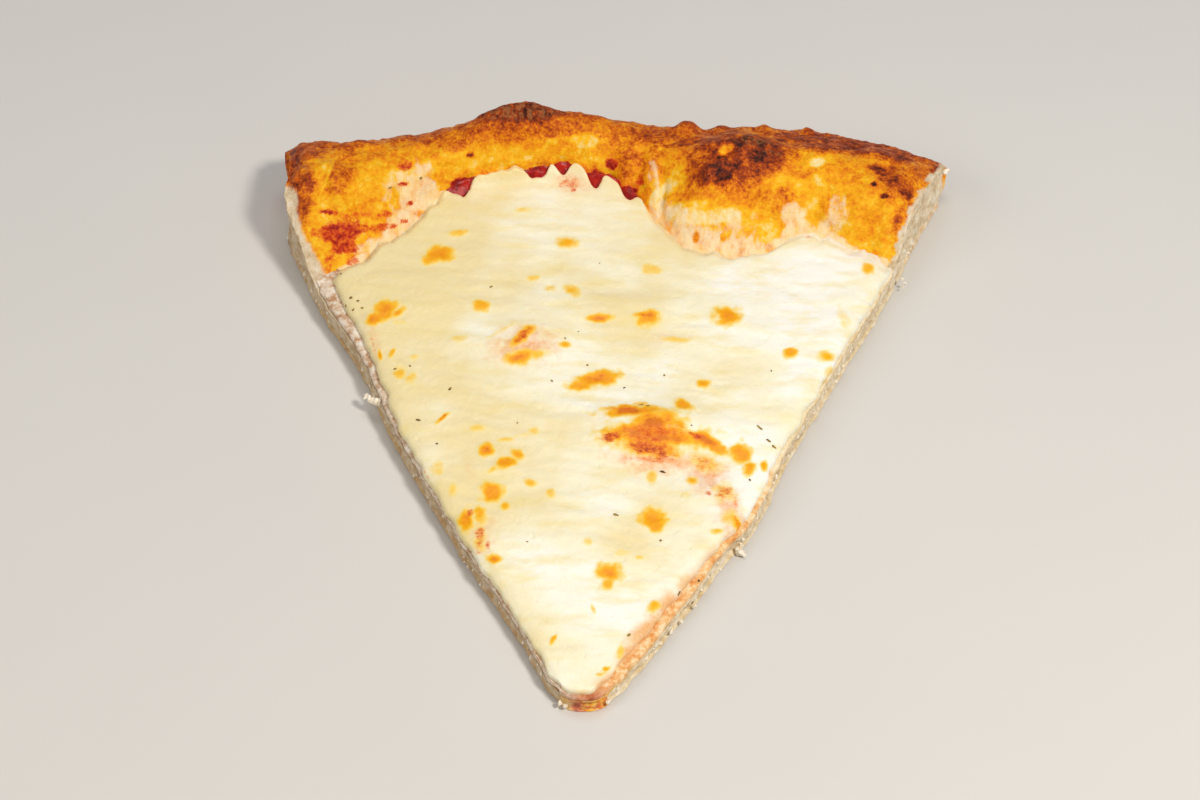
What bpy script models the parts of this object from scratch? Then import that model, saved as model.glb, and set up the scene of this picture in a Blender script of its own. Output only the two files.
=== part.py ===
"""A slice of cheese pizza: bread with its baked rim, a film of tomato sauce and a sheet of melted mozzarella.

The slice lies flat on its base, with the tip towards -Y, the rim towards +Y and +Z up. The origin is on the
surface that it lies on, under the middle of the slice. Sizes are in millimetres until a vertex is placed.
"""

import math

import bmesh
import bpy
from mathutils import Vector, noise

MM = 0.001

# The whole pizza and the cut: one eighth of an 18 inch pizza, cut about a degree wide.
PIZZA_RADIUS = 228.6
HALF_ANGLE = math.radians(23.3)
PIZZA_CENTRE = (-4.34, -129.37)
TIP_FROM_CENTRE = 28.0
TIP_TRIM_LEFT = 1.6
TIP_TRIM_RIGHT = 9.5
TRIM_REACH = 58.0

# The flat part of the bread, which thickens from the tip towards the rim.
BREAD_AT_TIP = 3.2
BREAD_RISE = 0.0235

# The rim: its foot, where the inner slope starts, and its round back.
FOOT_BEFORE_CHEESE_EDGE = 3.4
BACK_WIDEST_AT = 6.5
BACK_UNDERCUT = 6.0
UNDERCUT_REACH = 12.0
FULL_SLOPE_START, FULL_SLOPE_END = 1.6, 2.2
LUMPS_FULL_AT = 0.33
UNEVEN_SIZE, UNEVEN_HEIGHT, UNEVEN_SEED = 12.0, 1.3, 5.0

# The layers above the bread, each a clear gap above the one below.
GAP = 0.5
SAUCE_THICKNESS = 0.7
CHEESE_THICKNESS = 2.1
CHEESE_AT_TIP = 1.3
CHEESE_THINS_WITHIN = 40.0
SHEET_EDGE_ROUND = 4.0
SHEET_EDGE_SHARE = 0.45
SLOPE_STEP = 0.8
MOST_LEAN = 1.8

# Angle from the middle of the slice in degrees, then a distance from the pizza's centre, a width or a height.
RIM_EDGE_RADIUS = (
    (-23.3, 236.0), (-20.0, 236.5), (-17.0, 234.0), (-13.5, 232.0), (-5.0, 231.0), (1.0, 231.0),
    (7.0, 230.0), (11.0, 234.0), (15.0, 235.5), (20.0, 236.0), (23.3, 235.0),
)
RIDGE_FROM_BACK = (
    (-23.3, 18.0), (-12.0, 16.0), (-6.0, 12.0), (0.0, 14.0), (7.0, 18.0), (12.0, 23.0), (23.3, 27.0),
)
CHEESE_EDGE_RADIUS = (
    (-23.3, 184.0), (-18.0, 192.0), (-14.6, 199.0), (-12.5, 206.0), (-10.0, 209.5),
    (-4.0, 210.0), (0.0, 206.5), (2.6, 201.0), (4.6, 193.0), (7.2, 185.0),
    (10.5, 183.5), (13.5, 188.5), (16.2, 196.5), (19.6, 194.0), (23.3, 191.0),
)
SAUCE_PAST_CHEESE = (
    (-23.3, 1.0), (-17.0, 3.0), (-13.0, 0.6), (-9.5, 3.2), (-7.0, 0.6), (-4.0, 2.0), (-1.5, 0.6),
    (0.5, 3.4), (3.5, 2.6), (6.0, 0.6), (23.3, 0.6),
)
RIDGE_HEIGHT = (
    (-23.3, 20.0), (-20.0, 19.5), (-17.0, 18.0), (-12.0, 18.0), (-5.0, 19.5), (2.0, 19.0),
    (8.0, 19.5), (17.0, 19.0), (23.3, 18.5),
)
# 0 is an even S-shaped slope, 1 a full, steep-footed one, as where the rim has blistered.
SLOPE_FULLNESS = ((-23.3, 0.5), (-12.0, 0.1), (0.0, 0.1), (6.0, 0.9), (14.0, 0.9), (23.3, 0.55))

# Lumps of the rim: angle in degrees, distance from its outline, half lengths along and across it, height.
RIM_LUMPS = (
    {"name": "hump", "angle": -6.2, "from_back": 10.0, "along": 12.0, "across": 9.0, "height": 7.5},
    {"name": "hump's shoulder", "angle": -1.6, "from_back": 10.0, "along": 13.0, "across": 8.0, "height": 2.2},
    {"name": "brown blister", "angle": 9.0, "from_back": 24.0, "along": 12.0, "across": 10.0, "height": 4.5},
    {"name": "right swelling", "angle": 15.5, "from_back": 21.0, "along": 12.0, "across": 9.0, "height": 2.2},
    {"name": "middle hollow", "angle": 2.2, "from_back": 22.0, "along": 6.0, "across": 7.0, "height": -2.0},
    {"name": "left swelling", "angle": -19.0, "from_back": 26.0, "along": 9.0, "across": 10.0, "height": 2.0},
    {"name": "back bubble", "angle": 5.8, "from_back": 8.0, "along": 3.6, "across": 3.6, "height": 2.0},
)
# Lumps of the cheese: place from the pizza's centre along X and Y, half widths along X and Y, height.
CHEESE_LUMPS = (
    {"name": "large blister", "at": (14.0, 114.0), "wide": 15.0, "deep": 8.0, "height": 2.6},
    {"name": "middle blister", "at": (-19.0, 145.0), "wide": 12.0, "deep": 7.0, "height": 1.8},
    {"name": "long swell", "at": (-1.0, 157.0), "wide": 34.0, "deep": 6.0, "height": 0.9},
    {"name": "left swell", "at": (-47.0, 161.0), "wide": 13.0, "deep": 12.0, "height": 0.8},
    {"name": "right swell", "at": (43.0, 148.0), "wide": 24.0, "deep": 9.0, "height": 0.8},
    {"name": "lower swell", "at": (-9.0, 76.0), "wide": 16.0, "deep": 12.0, "height": 0.7},
    {"name": "dip by the large blister", "at": (17.0, 98.0), "wide": 12.0, "deep": 5.0, "height": -0.8},
)

# How far the cheese stays inside the cut: distance behind the tip, then the inset on that side.
LEFT_INSET = ((0.0, 0.6), (60.0, 0.6), (105.0, 1.6), (130.0, 3.4), (150.0, 5.0), (175.0, 5.0))
RIGHT_INSET = ((0.0, 2.6), (30.0, 2.4), (55.0, 1.2), (90.0, 0.5), (150.0, 0.5), (175.0, 1.0))
SAUCE_INSET_SHARE = 0.6
TIP_CHEESE_INSET = 2.4
SHEET_LENGTH = 168.0

# The cut faces: their crumb relief, how far they lean in at the top, and the skin pulled down by the cutter.
CRUMB_SIZE = 6.5
CRUMB_DEPTH = 0.7
CRUMB_SEED_SIDES, CRUMB_SEED_TIP = 3.0, 8.0
CUT_LEAN = 0.9
PULLED_SHARE = 0.25
PULLED_REACH = 6.0
# Distance behind the tip, then how far the cut wavers outwards.
LEFT_WAVER = ((0.0, -0.8), (22.0, -1.1), (50.0, 0.2), (90.0, 1.3), (112.0, -0.3), (139.0, 1.2), (160.0, 0.2))
RIGHT_WAVER = (
    (0.0, -0.6), (20.0, 0.2), (46.0, -1.4), (60.0, 0.3), (80.0, -1.0), (112.0, 0.1), (140.0, 1.2), (165.0, 0.4),
)
WAVER_FADE = 4
# The rim's left end is pinched inwards by the cutter from this far out, over this length.
LEFT_PINCH = 9.0
PINCH_FROM, PINCH_OVER = 206.0, 28.0

# How finely each piece is divided: columns across the slice, and rows along each stretch of it.
BREAD_COLUMNS, BREAD_WALL_CUTS = 56, 3
BREAD_FLAT_ROWS, BREAD_SLOPE_ROWS, BREAD_BACK_ROWS = 26, 20, 13
BREAD_ROWS = BREAD_FLAT_ROWS + BREAD_SLOPE_ROWS + BREAD_BACK_ROWS
BREAD_FLAT_SHARE = BREAD_FLAT_ROWS / BREAD_ROWS
BREAD_RIDGE_SHARE = (BREAD_FLAT_ROWS + BREAD_SLOPE_ROWS) / BREAD_ROWS
SHEET_COLUMNS, SHEET_FLAT_ROWS, SHEET_EDGE_ROWS = 48, 30, 6
SHEET_ROWS = SHEET_FLAT_ROWS + SHEET_EDGE_ROWS
SHEET_FLAT_SHARE = SHEET_FLAT_ROWS / SHEET_ROWS
AT_EDGE = 0.999
FLAT_WITHIN = math.radians(0.05)
SHARP_FROM = math.radians(40)

BREAD_COLOUR, BREAD_ROUGHNESS = (0.72, 0.42, 0.13, 1.0), 0.7
SAUCE_COLOUR, SAUCE_ROUGHNESS = (0.50, 0.06, 0.02, 1.0), 0.35
CHEESE_COLOUR, CHEESE_ROUGHNESS = (0.93, 0.85, 0.60, 1.0), 0.4


def ease(t):
    """Runs smoothly from 0 to 1 as t does."""
    t = min(max(t, 0.0), 1.0)
    return t * t * (3 - 2 * t)


def trend(knots, i):
    """The slope at a knot, from its neighbours on both sides."""
    before, after = knots[max(i - 1, 0)], knots[min(i + 1, len(knots) - 1)]
    return (after[1] - before[1]) / (after[0] - before[0])


def between(knots, at):
    """The value at this place on a smooth curve through the knots: a cubic between each two of them."""
    if at <= knots[0][0]:
        return knots[0][1]
    for i in range(1, len(knots)):
        (before, low), (after, high) = knots[i - 1], knots[i]
        if at <= after:
            span = after - before
            t = (at - before) / span
            bend = (1 - t) * trend(knots, i - 1) - t * trend(knots, i) + (2 * t - 1) * (high - low) / span
            return low + (high - low) * t + t * (1 - t) * span * bend
    return knots[-1][1]


def mound(along, across):
    """A rounded mound, 1 at its middle and 0 past about two half widths."""
    return math.exp(-(along * along + across * across))


def rough(x, y, z, size, seed):
    """Even noise from -1 to 1 with lumps of this size."""
    return noise.noise(Vector((x / size + seed, y / size, z / size)))


def polar(x, y):
    """Distance from the pizza's centre, and the angle in degrees from the middle of the slice."""
    away_x, away_y = x - PIZZA_CENTRE[0], y - PIZZA_CENTRE[1]
    return math.hypot(away_x, away_y), math.degrees(math.atan2(away_x, away_y))


def behind_tip(y):
    """Distance behind the slice's tip."""
    return y - PIZZA_CENTRE[1] - TIP_FROM_CENTRE


def back_radius(degrees):
    """The rim's outline, close to a circle, with its corners spread by the cutter."""
    return between(RIM_EDGE_RADIUS, degrees)


def foot_radius(degrees):
    """Where the rim's inner slope starts, just inside the edge of the cheese."""
    return between(CHEESE_EDGE_RADIUS, degrees) - FOOT_BEFORE_CHEESE_EDGE


def plan(a, from_centre, degrees):
    """A point of the slice seen from above; a runs from -1 at the left cut to 1 at the right one."""
    angle = math.radians(degrees)
    x = PIZZA_CENTRE[0] + from_centre * math.sin(angle)
    y = PIZZA_CENTRE[1] + from_centre * math.cos(angle)
    trim = 1 - ease(behind_tip(y) / TRIM_REACH)
    x -= TIP_TRIM_RIGHT * trim * (1 + a) / 2
    x += TIP_TRIM_LEFT * trim * (1 - a) / 2
    near_left, near_right = ((1 - a) / 2) ** WAVER_FADE, ((1 + a) / 2) ** WAVER_FADE
    x += LEFT_PINCH * ease((from_centre - PINCH_FROM) / PINCH_OVER) * near_left
    x -= between(LEFT_WAVER, behind_tip(y)) * near_left
    x += between(RIGHT_WAVER, behind_tip(y)) * near_right
    return x, y


def flat_height(y):
    """The top of the flat bread, which rises evenly from the tip."""
    return BREAD_AT_TIP + BREAD_RISE * behind_tip(y)


def rim_lumps(from_back, degrees):
    """The rim's lumps by name, and the small unevenness that baking gives all of it."""
    around = math.radians(degrees) * PIZZA_RADIUS
    height = UNEVEN_HEIGHT * rough(around, from_back, 0.0, UNEVEN_SIZE, UNEVEN_SEED)
    for lump in RIM_LUMPS:
        along = math.radians(degrees - lump["angle"]) * PIZZA_RADIUS / lump["along"]
        across = (from_back - lump["from_back"]) / lump["across"]
        height += lump["height"] * mound(along, across)
    return height


def bread_height(x, y):
    """The top of the bread: flat under the cheese, up the rim's slope, over the ridge and round the back."""
    from_centre, degrees = polar(x, y)
    from_back = back_radius(degrees) - from_centre
    foot = foot_radius(degrees)
    if from_centre <= foot:
        return flat_height(y)
    ridge = between(RIDGE_HEIGHT, degrees)
    ridge_back = between(RIDGE_FROM_BACK, degrees)
    lumps = rim_lumps(from_back, degrees)
    if from_back >= ridge_back:
        up = (from_centre - foot) / (from_centre - foot + from_back - ridge_back)
        full = between(SLOPE_FULLNESS, degrees)
        slope = (1 - full) * ease(up) + full * (1 - (1 - up**FULL_SLOPE_START) ** FULL_SLOPE_END)
        return flat_height(y) + (ridge - flat_height(y)) * slope + lumps * ease(up / LUMPS_FULL_AT)
    down = min(1.0, (ridge_back - from_back) / ridge_back)
    round_back = math.sqrt(max(0.0, 1 - down * down))
    return BACK_WIDEST_AT + (ridge - BACK_WIDEST_AT + lumps) * round_back


def lean(x, y):
    """How much taller a layer stands on a slope, so that it keeps its thickness square to the slope."""
    step = SLOPE_STEP
    rise_x = (bread_height(x + step, y) - bread_height(x - step, y)) / (2 * step)
    rise_y = (bread_height(x, y + step) - bread_height(x, y - step)) / (2 * step)
    return min(MOST_LEAN, math.sqrt(1 + rise_x * rise_x + rise_y * rise_y))


def bread_radius(b, degrees):
    """Distance from the pizza's centre of the row b, which runs from 0 at the tip to 1 at the back."""
    tip = TIP_FROM_CENTRE / math.cos(math.radians(degrees))
    foot = foot_radius(degrees)
    ridge_back = between(RIDGE_FROM_BACK, degrees)
    ridge = back_radius(degrees) - ridge_back
    if b <= BREAD_FLAT_SHARE:
        return tip + (foot - tip) * b / BREAD_FLAT_SHARE
    if b <= BREAD_RIDGE_SHARE:
        return foot + (ridge - foot) * (b - BREAD_FLAT_SHARE) / (BREAD_RIDGE_SHARE - BREAD_FLAT_SHARE)
    turn = (b - BREAD_RIDGE_SHARE) / (1 - BREAD_RIDGE_SHARE) * math.pi / 2
    return ridge + ridge_back * math.sin(turn)


def bread_point(a, b, h):
    """Takes a point of the parameter box to the bread's surface."""
    degrees = a * math.degrees(HALF_ANGLE)
    from_centre = bread_radius(b, degrees)
    x, y = plan(a, from_centre, degrees)
    top = bread_height(x, y)
    from_cut = (1 - abs(a)) * HALF_ANGLE * from_centre
    top -= PULLED_SHARE * max(0.0, top - flat_height(y)) * (1 - ease(from_cut / PULLED_REACH))
    z = h * top
    low = 1 - min(1.0, z / BACK_WIDEST_AT)
    near_back = math.exp(-(((back_radius(degrees) - from_centre) / UNDERCUT_REACH) ** 2))
    x, y = plan(a, from_centre - BACK_UNDERCUT * low * low * near_back, degrees)
    if abs(a) > AT_EDGE:
        out = CRUMB_DEPTH * rough(x, y, z, CRUMB_SIZE, CRUMB_SEED_SIDES) - CUT_LEAN * h
        x += math.copysign(out * math.cos(HALF_ANGLE), a)
        y -= out * math.sin(HALF_ANGLE)
    if b < 1 - AT_EDGE:
        y -= CRUMB_DEPTH * rough(x, y, z, CRUMB_SIZE, CRUMB_SEED_TIP)
    return x, y, z


def sheet_plan(a, b, past_edge, share):
    """A point of a sheet seen from above; b runs from 0 at the tip to 1 at the sheet's edge on the rim.

    The share of the inset counts at the side edges alone, so that both sheets bend alike inside them.
    """
    behind = b * SHEET_LENGTH
    inset = between(LEFT_INSET if a < 0 else RIGHT_INSET, behind)
    half_width = (behind + TIP_FROM_CENTRE) * HALF_ANGLE
    side_share = share if abs(a) > AT_EDGE else 1.0
    degrees = a * (1 - side_share * inset / half_width) * math.degrees(HALF_ANGLE)
    tip = (TIP_FROM_CENTRE + TIP_CHEESE_INSET * share) / math.cos(math.radians(degrees))
    flat_end = foot_radius(degrees)
    if b <= SHEET_FLAT_SHARE:
        from_centre = tip + (flat_end - tip) * b / SHEET_FLAT_SHARE
    else:
        up = (b - SHEET_FLAT_SHARE) / (1 - SHEET_FLAT_SHARE)
        from_centre = flat_end + (FOOT_BEFORE_CHEESE_EDGE + past_edge(degrees)) * up
    return plan(a, from_centre, degrees)


def sauce_point(a, b, h):
    """Takes a point of the parameter box to the sauce's surface, which shows past the cheese in places."""
    x, y = sheet_plan(a, b, lambda degrees: between(SAUCE_PAST_CHEESE, degrees), SAUCE_INSET_SHARE)
    return x, y, bread_height(x, y) + (GAP + SAUCE_THICKNESS * h) * lean(x, y)


def cheese_lumps(x, y):
    height = 0.0
    for lump in CHEESE_LUMPS:
        across = (x - PIZZA_CENTRE[0] - lump["at"][0]) / lump["wide"]
        along = (y - PIZZA_CENTRE[1] - lump["at"][1]) / lump["deep"]
        height += lump["height"] * mound(across, along)
    return height


def cheese_point(a, b, h):
    """Takes a point of the parameter box to the cheese's surface, with its rounded edge and its lumps."""
    x, y = sheet_plan(a, b, lambda degrees: 0.0, 1.0)
    bottom = bread_height(x, y) + (GAP + SAUCE_THICKNESS + GAP) * lean(x, y)
    thick = CHEESE_AT_TIP + (CHEESE_THICKNESS - CHEESE_AT_TIP) * ease(behind_tip(y) / CHEESE_THINS_WITHIN)
    half_width = max(1.0, behind_tip(y) + TIP_FROM_CENTRE) * math.tan(HALF_ANGLE)
    inside = min((1 - abs(a)) * half_width, (1 - b) * SHEET_LENGTH, b * SHEET_LENGTH)
    round_edge = math.sqrt(1 - (1 - min(1.0, inside / SHEET_EDGE_ROUND)) ** 2)
    rounding = SHEET_EDGE_SHARE + (1 - SHEET_EDGE_SHARE) * round_edge
    lumps = cheese_lumps(x, y) * ease(inside / SHEET_EDGE_ROUND)
    return x, y, bottom + h * (thick * rounding + lumps)


def parameter_box(across, along, wall_cuts):
    """A box from (-1, 0, 0) to (1, 1, 1), its top and base divided into a grid and its walls into rows."""
    bm = bmesh.new()
    bmesh.ops.create_grid(bm, x_segments=across, y_segments=along, size=1.0)
    for v in bm.verts:
        v.co.y = (v.co.y + 1) / 2
    sheet = bmesh.ops.extrude_face_region(bm, geom=bm.faces[:], use_keep_orig=True)
    for item in sheet["geom"]:
        if isinstance(item, bmesh.types.BMVert):
            item.co.z = 1.0
    upright = [e for e in bm.edges if abs(e.verts[0].co.z - e.verts[1].co.z) > 0.5]
    if wall_cuts:
        bmesh.ops.subdivide_edges(bm, edges=upright, cuts=wall_cuts, use_grid_fill=True)
    return bm


def merge_flat_faces(bm):
    """Joins neighbouring faces that lie in one plane, such as the base and the bread under the cheese."""
    bm.normal_update()
    bmesh.ops.dissolve_limit(
        bm, angle_limit=FLAT_WITHIN, use_dissolve_boundaries=False, verts=bm.verts[:], edges=bm.edges[:]
    )


def finish_material(name, colour, roughness):
    material = bpy.data.materials.new(name)
    material.use_nodes = True
    shader = material.node_tree.nodes["Principled BSDF"]
    shader.inputs["Base Color"].default_value = colour
    shader.inputs["Roughness"].default_value = roughness
    shader.inputs["Metallic"].default_value = 0.0
    return material


def layer(name, point, divisions, material, collection):
    """One solid layer of the slice, shaped from a parameter box by the layer's own function."""
    bm = parameter_box(*divisions)
    for v in bm.verts:
        v.co = Vector(point(v.co.x, v.co.y, v.co.z)) * MM
    merge_flat_faces(bm)
    bmesh.ops.recalc_face_normals(bm, faces=bm.faces[:])
    mesh = bpy.data.meshes.new(name)
    bm.to_mesh(mesh)
    bm.free()
    mesh.materials.append(material)
    mesh.shade_smooth()
    mesh.set_sharp_from_angle(angle=SHARP_FROM)
    piece = bpy.data.objects.new(name, mesh)
    collection.objects.link(piece)
    return piece


def main():
    for thing in list(bpy.data.objects):
        bpy.data.objects.remove(thing)
    slice_parts = bpy.data.collections.new("cheese_pizza_slice")
    bpy.context.scene.collection.children.link(slice_parts)

    bread = finish_material("baked_bread", BREAD_COLOUR, BREAD_ROUGHNESS)
    sauce = finish_material("tomato_sauce", SAUCE_COLOUR, SAUCE_ROUGHNESS)
    cheese = finish_material("melted_mozzarella", CHEESE_COLOUR, CHEESE_ROUGHNESS)

    layer("bread", bread_point, (BREAD_COLUMNS, BREAD_ROWS, BREAD_WALL_CUTS), bread, slice_parts)
    layer("tomato_sauce", sauce_point, (SHEET_COLUMNS, SHEET_ROWS, 0), sauce, slice_parts)
    layer("mozzarella", cheese_point, (SHEET_COLUMNS, SHEET_ROWS, 1), cheese, slice_parts)


main()
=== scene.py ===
# A slice of cheese pizza: baked bread with its rim, tomato sauce, melted mozzarella, dried herbs and crumbs.
# Shapes are worked out in millimetres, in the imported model's frame, and become metres when a mesh is made.
import math

import bmesh
import bpy
import numpy as np
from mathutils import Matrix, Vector
from mathutils.bvhtree import BVHTree


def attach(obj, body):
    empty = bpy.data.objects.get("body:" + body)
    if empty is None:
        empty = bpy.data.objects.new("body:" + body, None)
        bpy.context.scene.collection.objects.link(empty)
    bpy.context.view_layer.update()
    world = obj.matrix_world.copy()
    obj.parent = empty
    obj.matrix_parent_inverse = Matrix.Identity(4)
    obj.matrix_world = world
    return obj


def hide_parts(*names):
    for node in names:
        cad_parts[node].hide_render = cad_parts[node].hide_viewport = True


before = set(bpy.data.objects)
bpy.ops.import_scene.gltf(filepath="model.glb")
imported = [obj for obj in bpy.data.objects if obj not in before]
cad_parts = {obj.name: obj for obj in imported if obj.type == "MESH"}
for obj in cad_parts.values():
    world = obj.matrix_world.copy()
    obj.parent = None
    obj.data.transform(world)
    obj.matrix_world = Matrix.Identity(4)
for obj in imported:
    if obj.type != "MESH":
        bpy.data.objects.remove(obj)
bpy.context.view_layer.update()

toMetres = 0.001

# The photograph's camera: it looks along +Y and down, at a point of the floor near the slice's middle.
photoCamera = {
    "target": (-4.54, 3.63, 0.0), "distance": 850.0, "elevation": 43.0,
    "lens": 100.93, "sensor": 36.0, "imageWidth": 1200, "imageHeight": 800,
}

# The whole pizza and the cut, as in the solids.
cutPizza = {
    "centre": (-4.34, -129.37), "radius": 228.6, "halfAngle": 23.3, "tipFromCentre": 28.0,
    "tipTrimLeft": 1.6, "tipTrimRight": 9.5, "trimReach": 58.0,
    "leftPinch": 9.0, "pinchFrom": 206.0, "pinchOver": 28.0, "waverFade": 4,
    "tearReach": 0.42, "tearSize": 5.0, "tipBlunt": 2.4, "bluntOver": 7.0,
    "leftWaver": ((0, -.8), (22, -1.1), (50, .2), (90, 1.3), (112, -.3), (139, 1.2), (160, .2)),
    "rightWaver": ((0, -.6), (20, .2), (46, -1.4), (60, .3), (80, -1), (112, .1), (140, 1.2), (165, .4)),
}


# Common shape functions

def ease(t):  # runs smoothly from 0 to 1 as t does
    t = np.clip(t, 0.0, 1.0)
    return t * t * (3 - 2 * t)


def between(knots, at):
    # a smooth curve through the knots: a cubic between each two, sloped at a knot by both its neighbours
    places, values = np.array(knots, float).T
    count = np.arange(len(places))
    before, after = np.maximum(count - 1, 0), np.minimum(count + 1, len(places) - 1)
    trend = (values[after] - values[before]) / (places[after] - places[before])
    at = np.clip(at, places[0], places[-1])
    i = np.clip(np.searchsorted(places, at) - 1, 0, len(places) - 2)
    span, rise = places[i + 1] - places[i], values[i + 1] - values[i]
    t = (at - places[i]) / span
    bend = (1 - t) * trend[i] - t * trend[i + 1] + (2 * t - 1) * rise / span
    return values[i] + rise * t + t * (1 - t) * span * bend


def stacked(x, y, z):
    return np.stack(np.broadcast_arrays(x, y, z), axis=-1).astype(float)


def noise(points, size, seed):
    # gradient noise, about -1 to 1: each lattice corner's random direction times the way from it, blended
    draw = np.random.default_rng(seed)
    order = draw.permutation(256)
    ways = draw.normal(size=(256, 3))
    ways /= np.linalg.norm(ways, axis=1)[:, None]
    scaled = points / np.array(size, float)
    cell = np.floor(scaled).astype(np.int64)
    part = scaled - cell
    fade = part ** 3 * (part * (part * 6 - 15) + 10)
    total = np.zeros(points.shape[:-1])
    for corner in np.ndindex(2, 2, 2):
        pick = order[(cell[..., 0] + corner[0]) & 255]
        pick = order[(pick + cell[..., 1] + corner[1]) & 255]
        pick = order[(pick + cell[..., 2] + corner[2]) & 255]
        share = np.prod(np.where(np.array(corner) == 1, fade, 1 - fade), axis=-1)
        total += share * np.sum(ways[pick] * (part - np.array(corner)), axis=-1)
    return total * 1.6


def layered(points, size, seed, layers=3, share=0.5):
    # noise on noise: each layer has half the size and this share of the height of the one before
    total, height = 0.0, 1.0
    for layer in range(layers):
        total = total + height * noise(points, np.array(size, float) / 2 ** layer, seed + layer)
        height *= share
    return total


def cells(points, size, seed):
    # distance to the nearest of the points strewn one to a lattice cell, as a share of the cell's size
    draw = np.random.default_rng(seed)
    order, strewn = draw.permutation(256), draw.random((256, 3))
    scaled = points / np.array(size, float)
    cell = np.floor(scaled).astype(np.int64)
    nearest = np.full(points.shape[:-1], 9.0)
    for step in np.ndindex(3, 3, 3):
        there = cell + np.array(step) - 1
        pick = order[there[..., 0] & 255]
        pick = order[(pick + there[..., 1]) & 255]
        pick = order[(pick + there[..., 2]) & 255]
        nearest = np.minimum(nearest, np.linalg.norm(there + strewn[pick] - scaled, axis=-1))
    return nearest


def dots(points, size, seed, reach):
    # 1 at each of the strewn points, falling to 0 at this share of a cell from it
    return np.maximum(0, reach - cells(points, size, seed)) / reach


def photoAxes():
    # the photograph's camera: its eye, its ways ahead and up, and its focal length in pixels
    tilt = math.radians(photoCamera["elevation"])
    ahead = np.array([0, math.cos(tilt), -math.sin(tilt)])
    up = np.array([0, math.sin(tilt), math.cos(tilt)])
    eye = np.array(photoCamera["target"]) - photoCamera["distance"] * ahead
    return eye, ahead, up, photoCamera["imageWidth"] * photoCamera["lens"] / photoCamera["sensor"]


def photoPlace(points):
    # a point's place in the photograph's pixels: its way from the eye over its depth, times the focal length
    eye, ahead, up, focal = photoAxes()
    away = points - eye
    depth = away @ ahead
    across = photoCamera["imageWidth"] / 2 + focal * away[..., 0] / depth
    down = photoCamera["imageHeight"] / 2 - focal * (away @ up) / depth
    return across, down


def gridNormals(points):
    # the cross product of the ways to the neighbouring columns and rows
    normal = np.cross(np.gradient(points, axis=0), np.gradient(points, axis=1))
    return normal / np.maximum(np.linalg.norm(normal, axis=-1, keepdims=True), 1e-9)


def mark(places, spot, wobble, core=0.55, wider=1.0, smallUpTo=0):
    # 1 in the core of an ellipse of the photograph, fading to 0 past it; the wobble roughens its edge
    across, down, halfWidth, halfHeight, tilt = spot[:5]
    turn = math.radians(tilt)
    right, below = places[0] - across, places[1] - down
    along = right * math.cos(turn) - below * math.sin(turn)
    square = right * math.sin(turn) + below * math.cos(turn)
    uneven = wobble * (0.6 if halfWidth <= smallUpTo else 1.0)
    far = np.hypot(along / halfWidth, square / halfHeight) / wider + uneven
    outside = 1.3
    return 1 - ease((far - core) / (outside - core))


def strongest(places, spots, wobble, **edge):
    # the strongest mark at each point, each taken times its own strength
    amount = np.zeros(places[0].shape)
    for spot in spots.values():
        amount = np.maximum(amount, spot[5] * mark(places, spot, wobble, **edge))
    return amount


# Meshes from patches

def gridPatch(points, **paint):
    # a grid of points as quads; a paint is one value for all of it or one for each point
    columns, rows = points.shape[:2]
    index = np.arange(columns * rows).reshape(columns, rows)
    corners = [index[:-1, :-1], index[1:, :-1], index[1:, 1:], index[:-1, 1:]]
    paint = {name: np.broadcast_to(value, (columns, rows)).reshape(-1) for name, value in paint.items()}
    faces = np.stack(corners, axis=-1).reshape(-1, 4)
    return {"points": points.reshape(-1, 3), "faces": [faces], "paint": paint}


def stripPatch(coarse, fine, **paint):
    # triangles from a coarse row of points to a fine one with a whole number of steps to each coarse step
    ratio = (len(fine) - 1) // (len(coarse) - 1)
    step = np.arange(len(fine) - 1)
    nearest = np.minimum((step + ratio // 2) // ratio, len(coarse) - 1)
    narrow = np.stack([nearest, len(coarse) + step, len(coarse) + step + 1], axis=-1)
    first = np.arange(len(coarse) - 1)
    wide = np.stack([first, first + 1, len(coarse) + first * ratio + (ratio + 1) // 2], axis=-1)
    points = np.concatenate([coarse, fine])
    paint = {name: np.full(len(points), value) for name, value in paint.items()}
    return {"points": points, "faces": [narrow, wide], "paint": paint}


def allRound(grid):  # a grid's values along its outline: down one side, along the far end, back up and home
    return np.concatenate([grid[:, 0], grid[-1, 1:], grid[-2::-1, -1], grid[0, -2::-1]])


def weldedMesh(name, patches, sharpFrom):
    # joins the patches where their points meet, and turns all faces outwards; a patch without a paint has 0
    points = np.concatenate([p["points"] for p in patches])
    sameWithin = 1e-4
    keys = np.round(points / sameWithin).astype(np.int64)
    _, kept, renamed = np.unique(keys, axis=0, return_index=True, return_inverse=True)
    renamed = renamed.reshape(-1)
    faces, start = [], 0
    for p in patches:
        for block in p["faces"]:
            faces += renamed[block + start].tolist()
        start += len(p["points"])
    mesh = bpy.data.meshes.new(name)
    mesh.from_pydata((points[kept] * toMetres).tolist(), [], faces)
    for paintName in dict.fromkeys(each for p in patches for each in p["paint"]):
        values = [p["paint"].get(paintName, np.zeros(len(p["points"]))) for p in patches]
        layer = mesh.attributes.new(paintName, "FLOAT", "POINT")
        layer.data.foreach_set("value", np.concatenate(values)[kept].astype(np.float32))
    bm = bmesh.new()
    bm.from_mesh(mesh)
    bmesh.ops.recalc_face_normals(bm, faces=bm.faces[:])
    bm.to_mesh(mesh)
    bm.free()
    mesh.shade_smooth()
    mesh.set_sharp_from_angle(angle=math.radians(sharpFrom))
    return mesh


def placed(name, mesh, material, stands=None):
    piece = bpy.data.objects.new(name, mesh)
    bpy.context.scene.collection.objects.link(piece)
    mesh.materials.append(material)
    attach(piece, "root")
    if stands:
        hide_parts(stands)
    return piece


# The slice's plan and the bread

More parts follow.
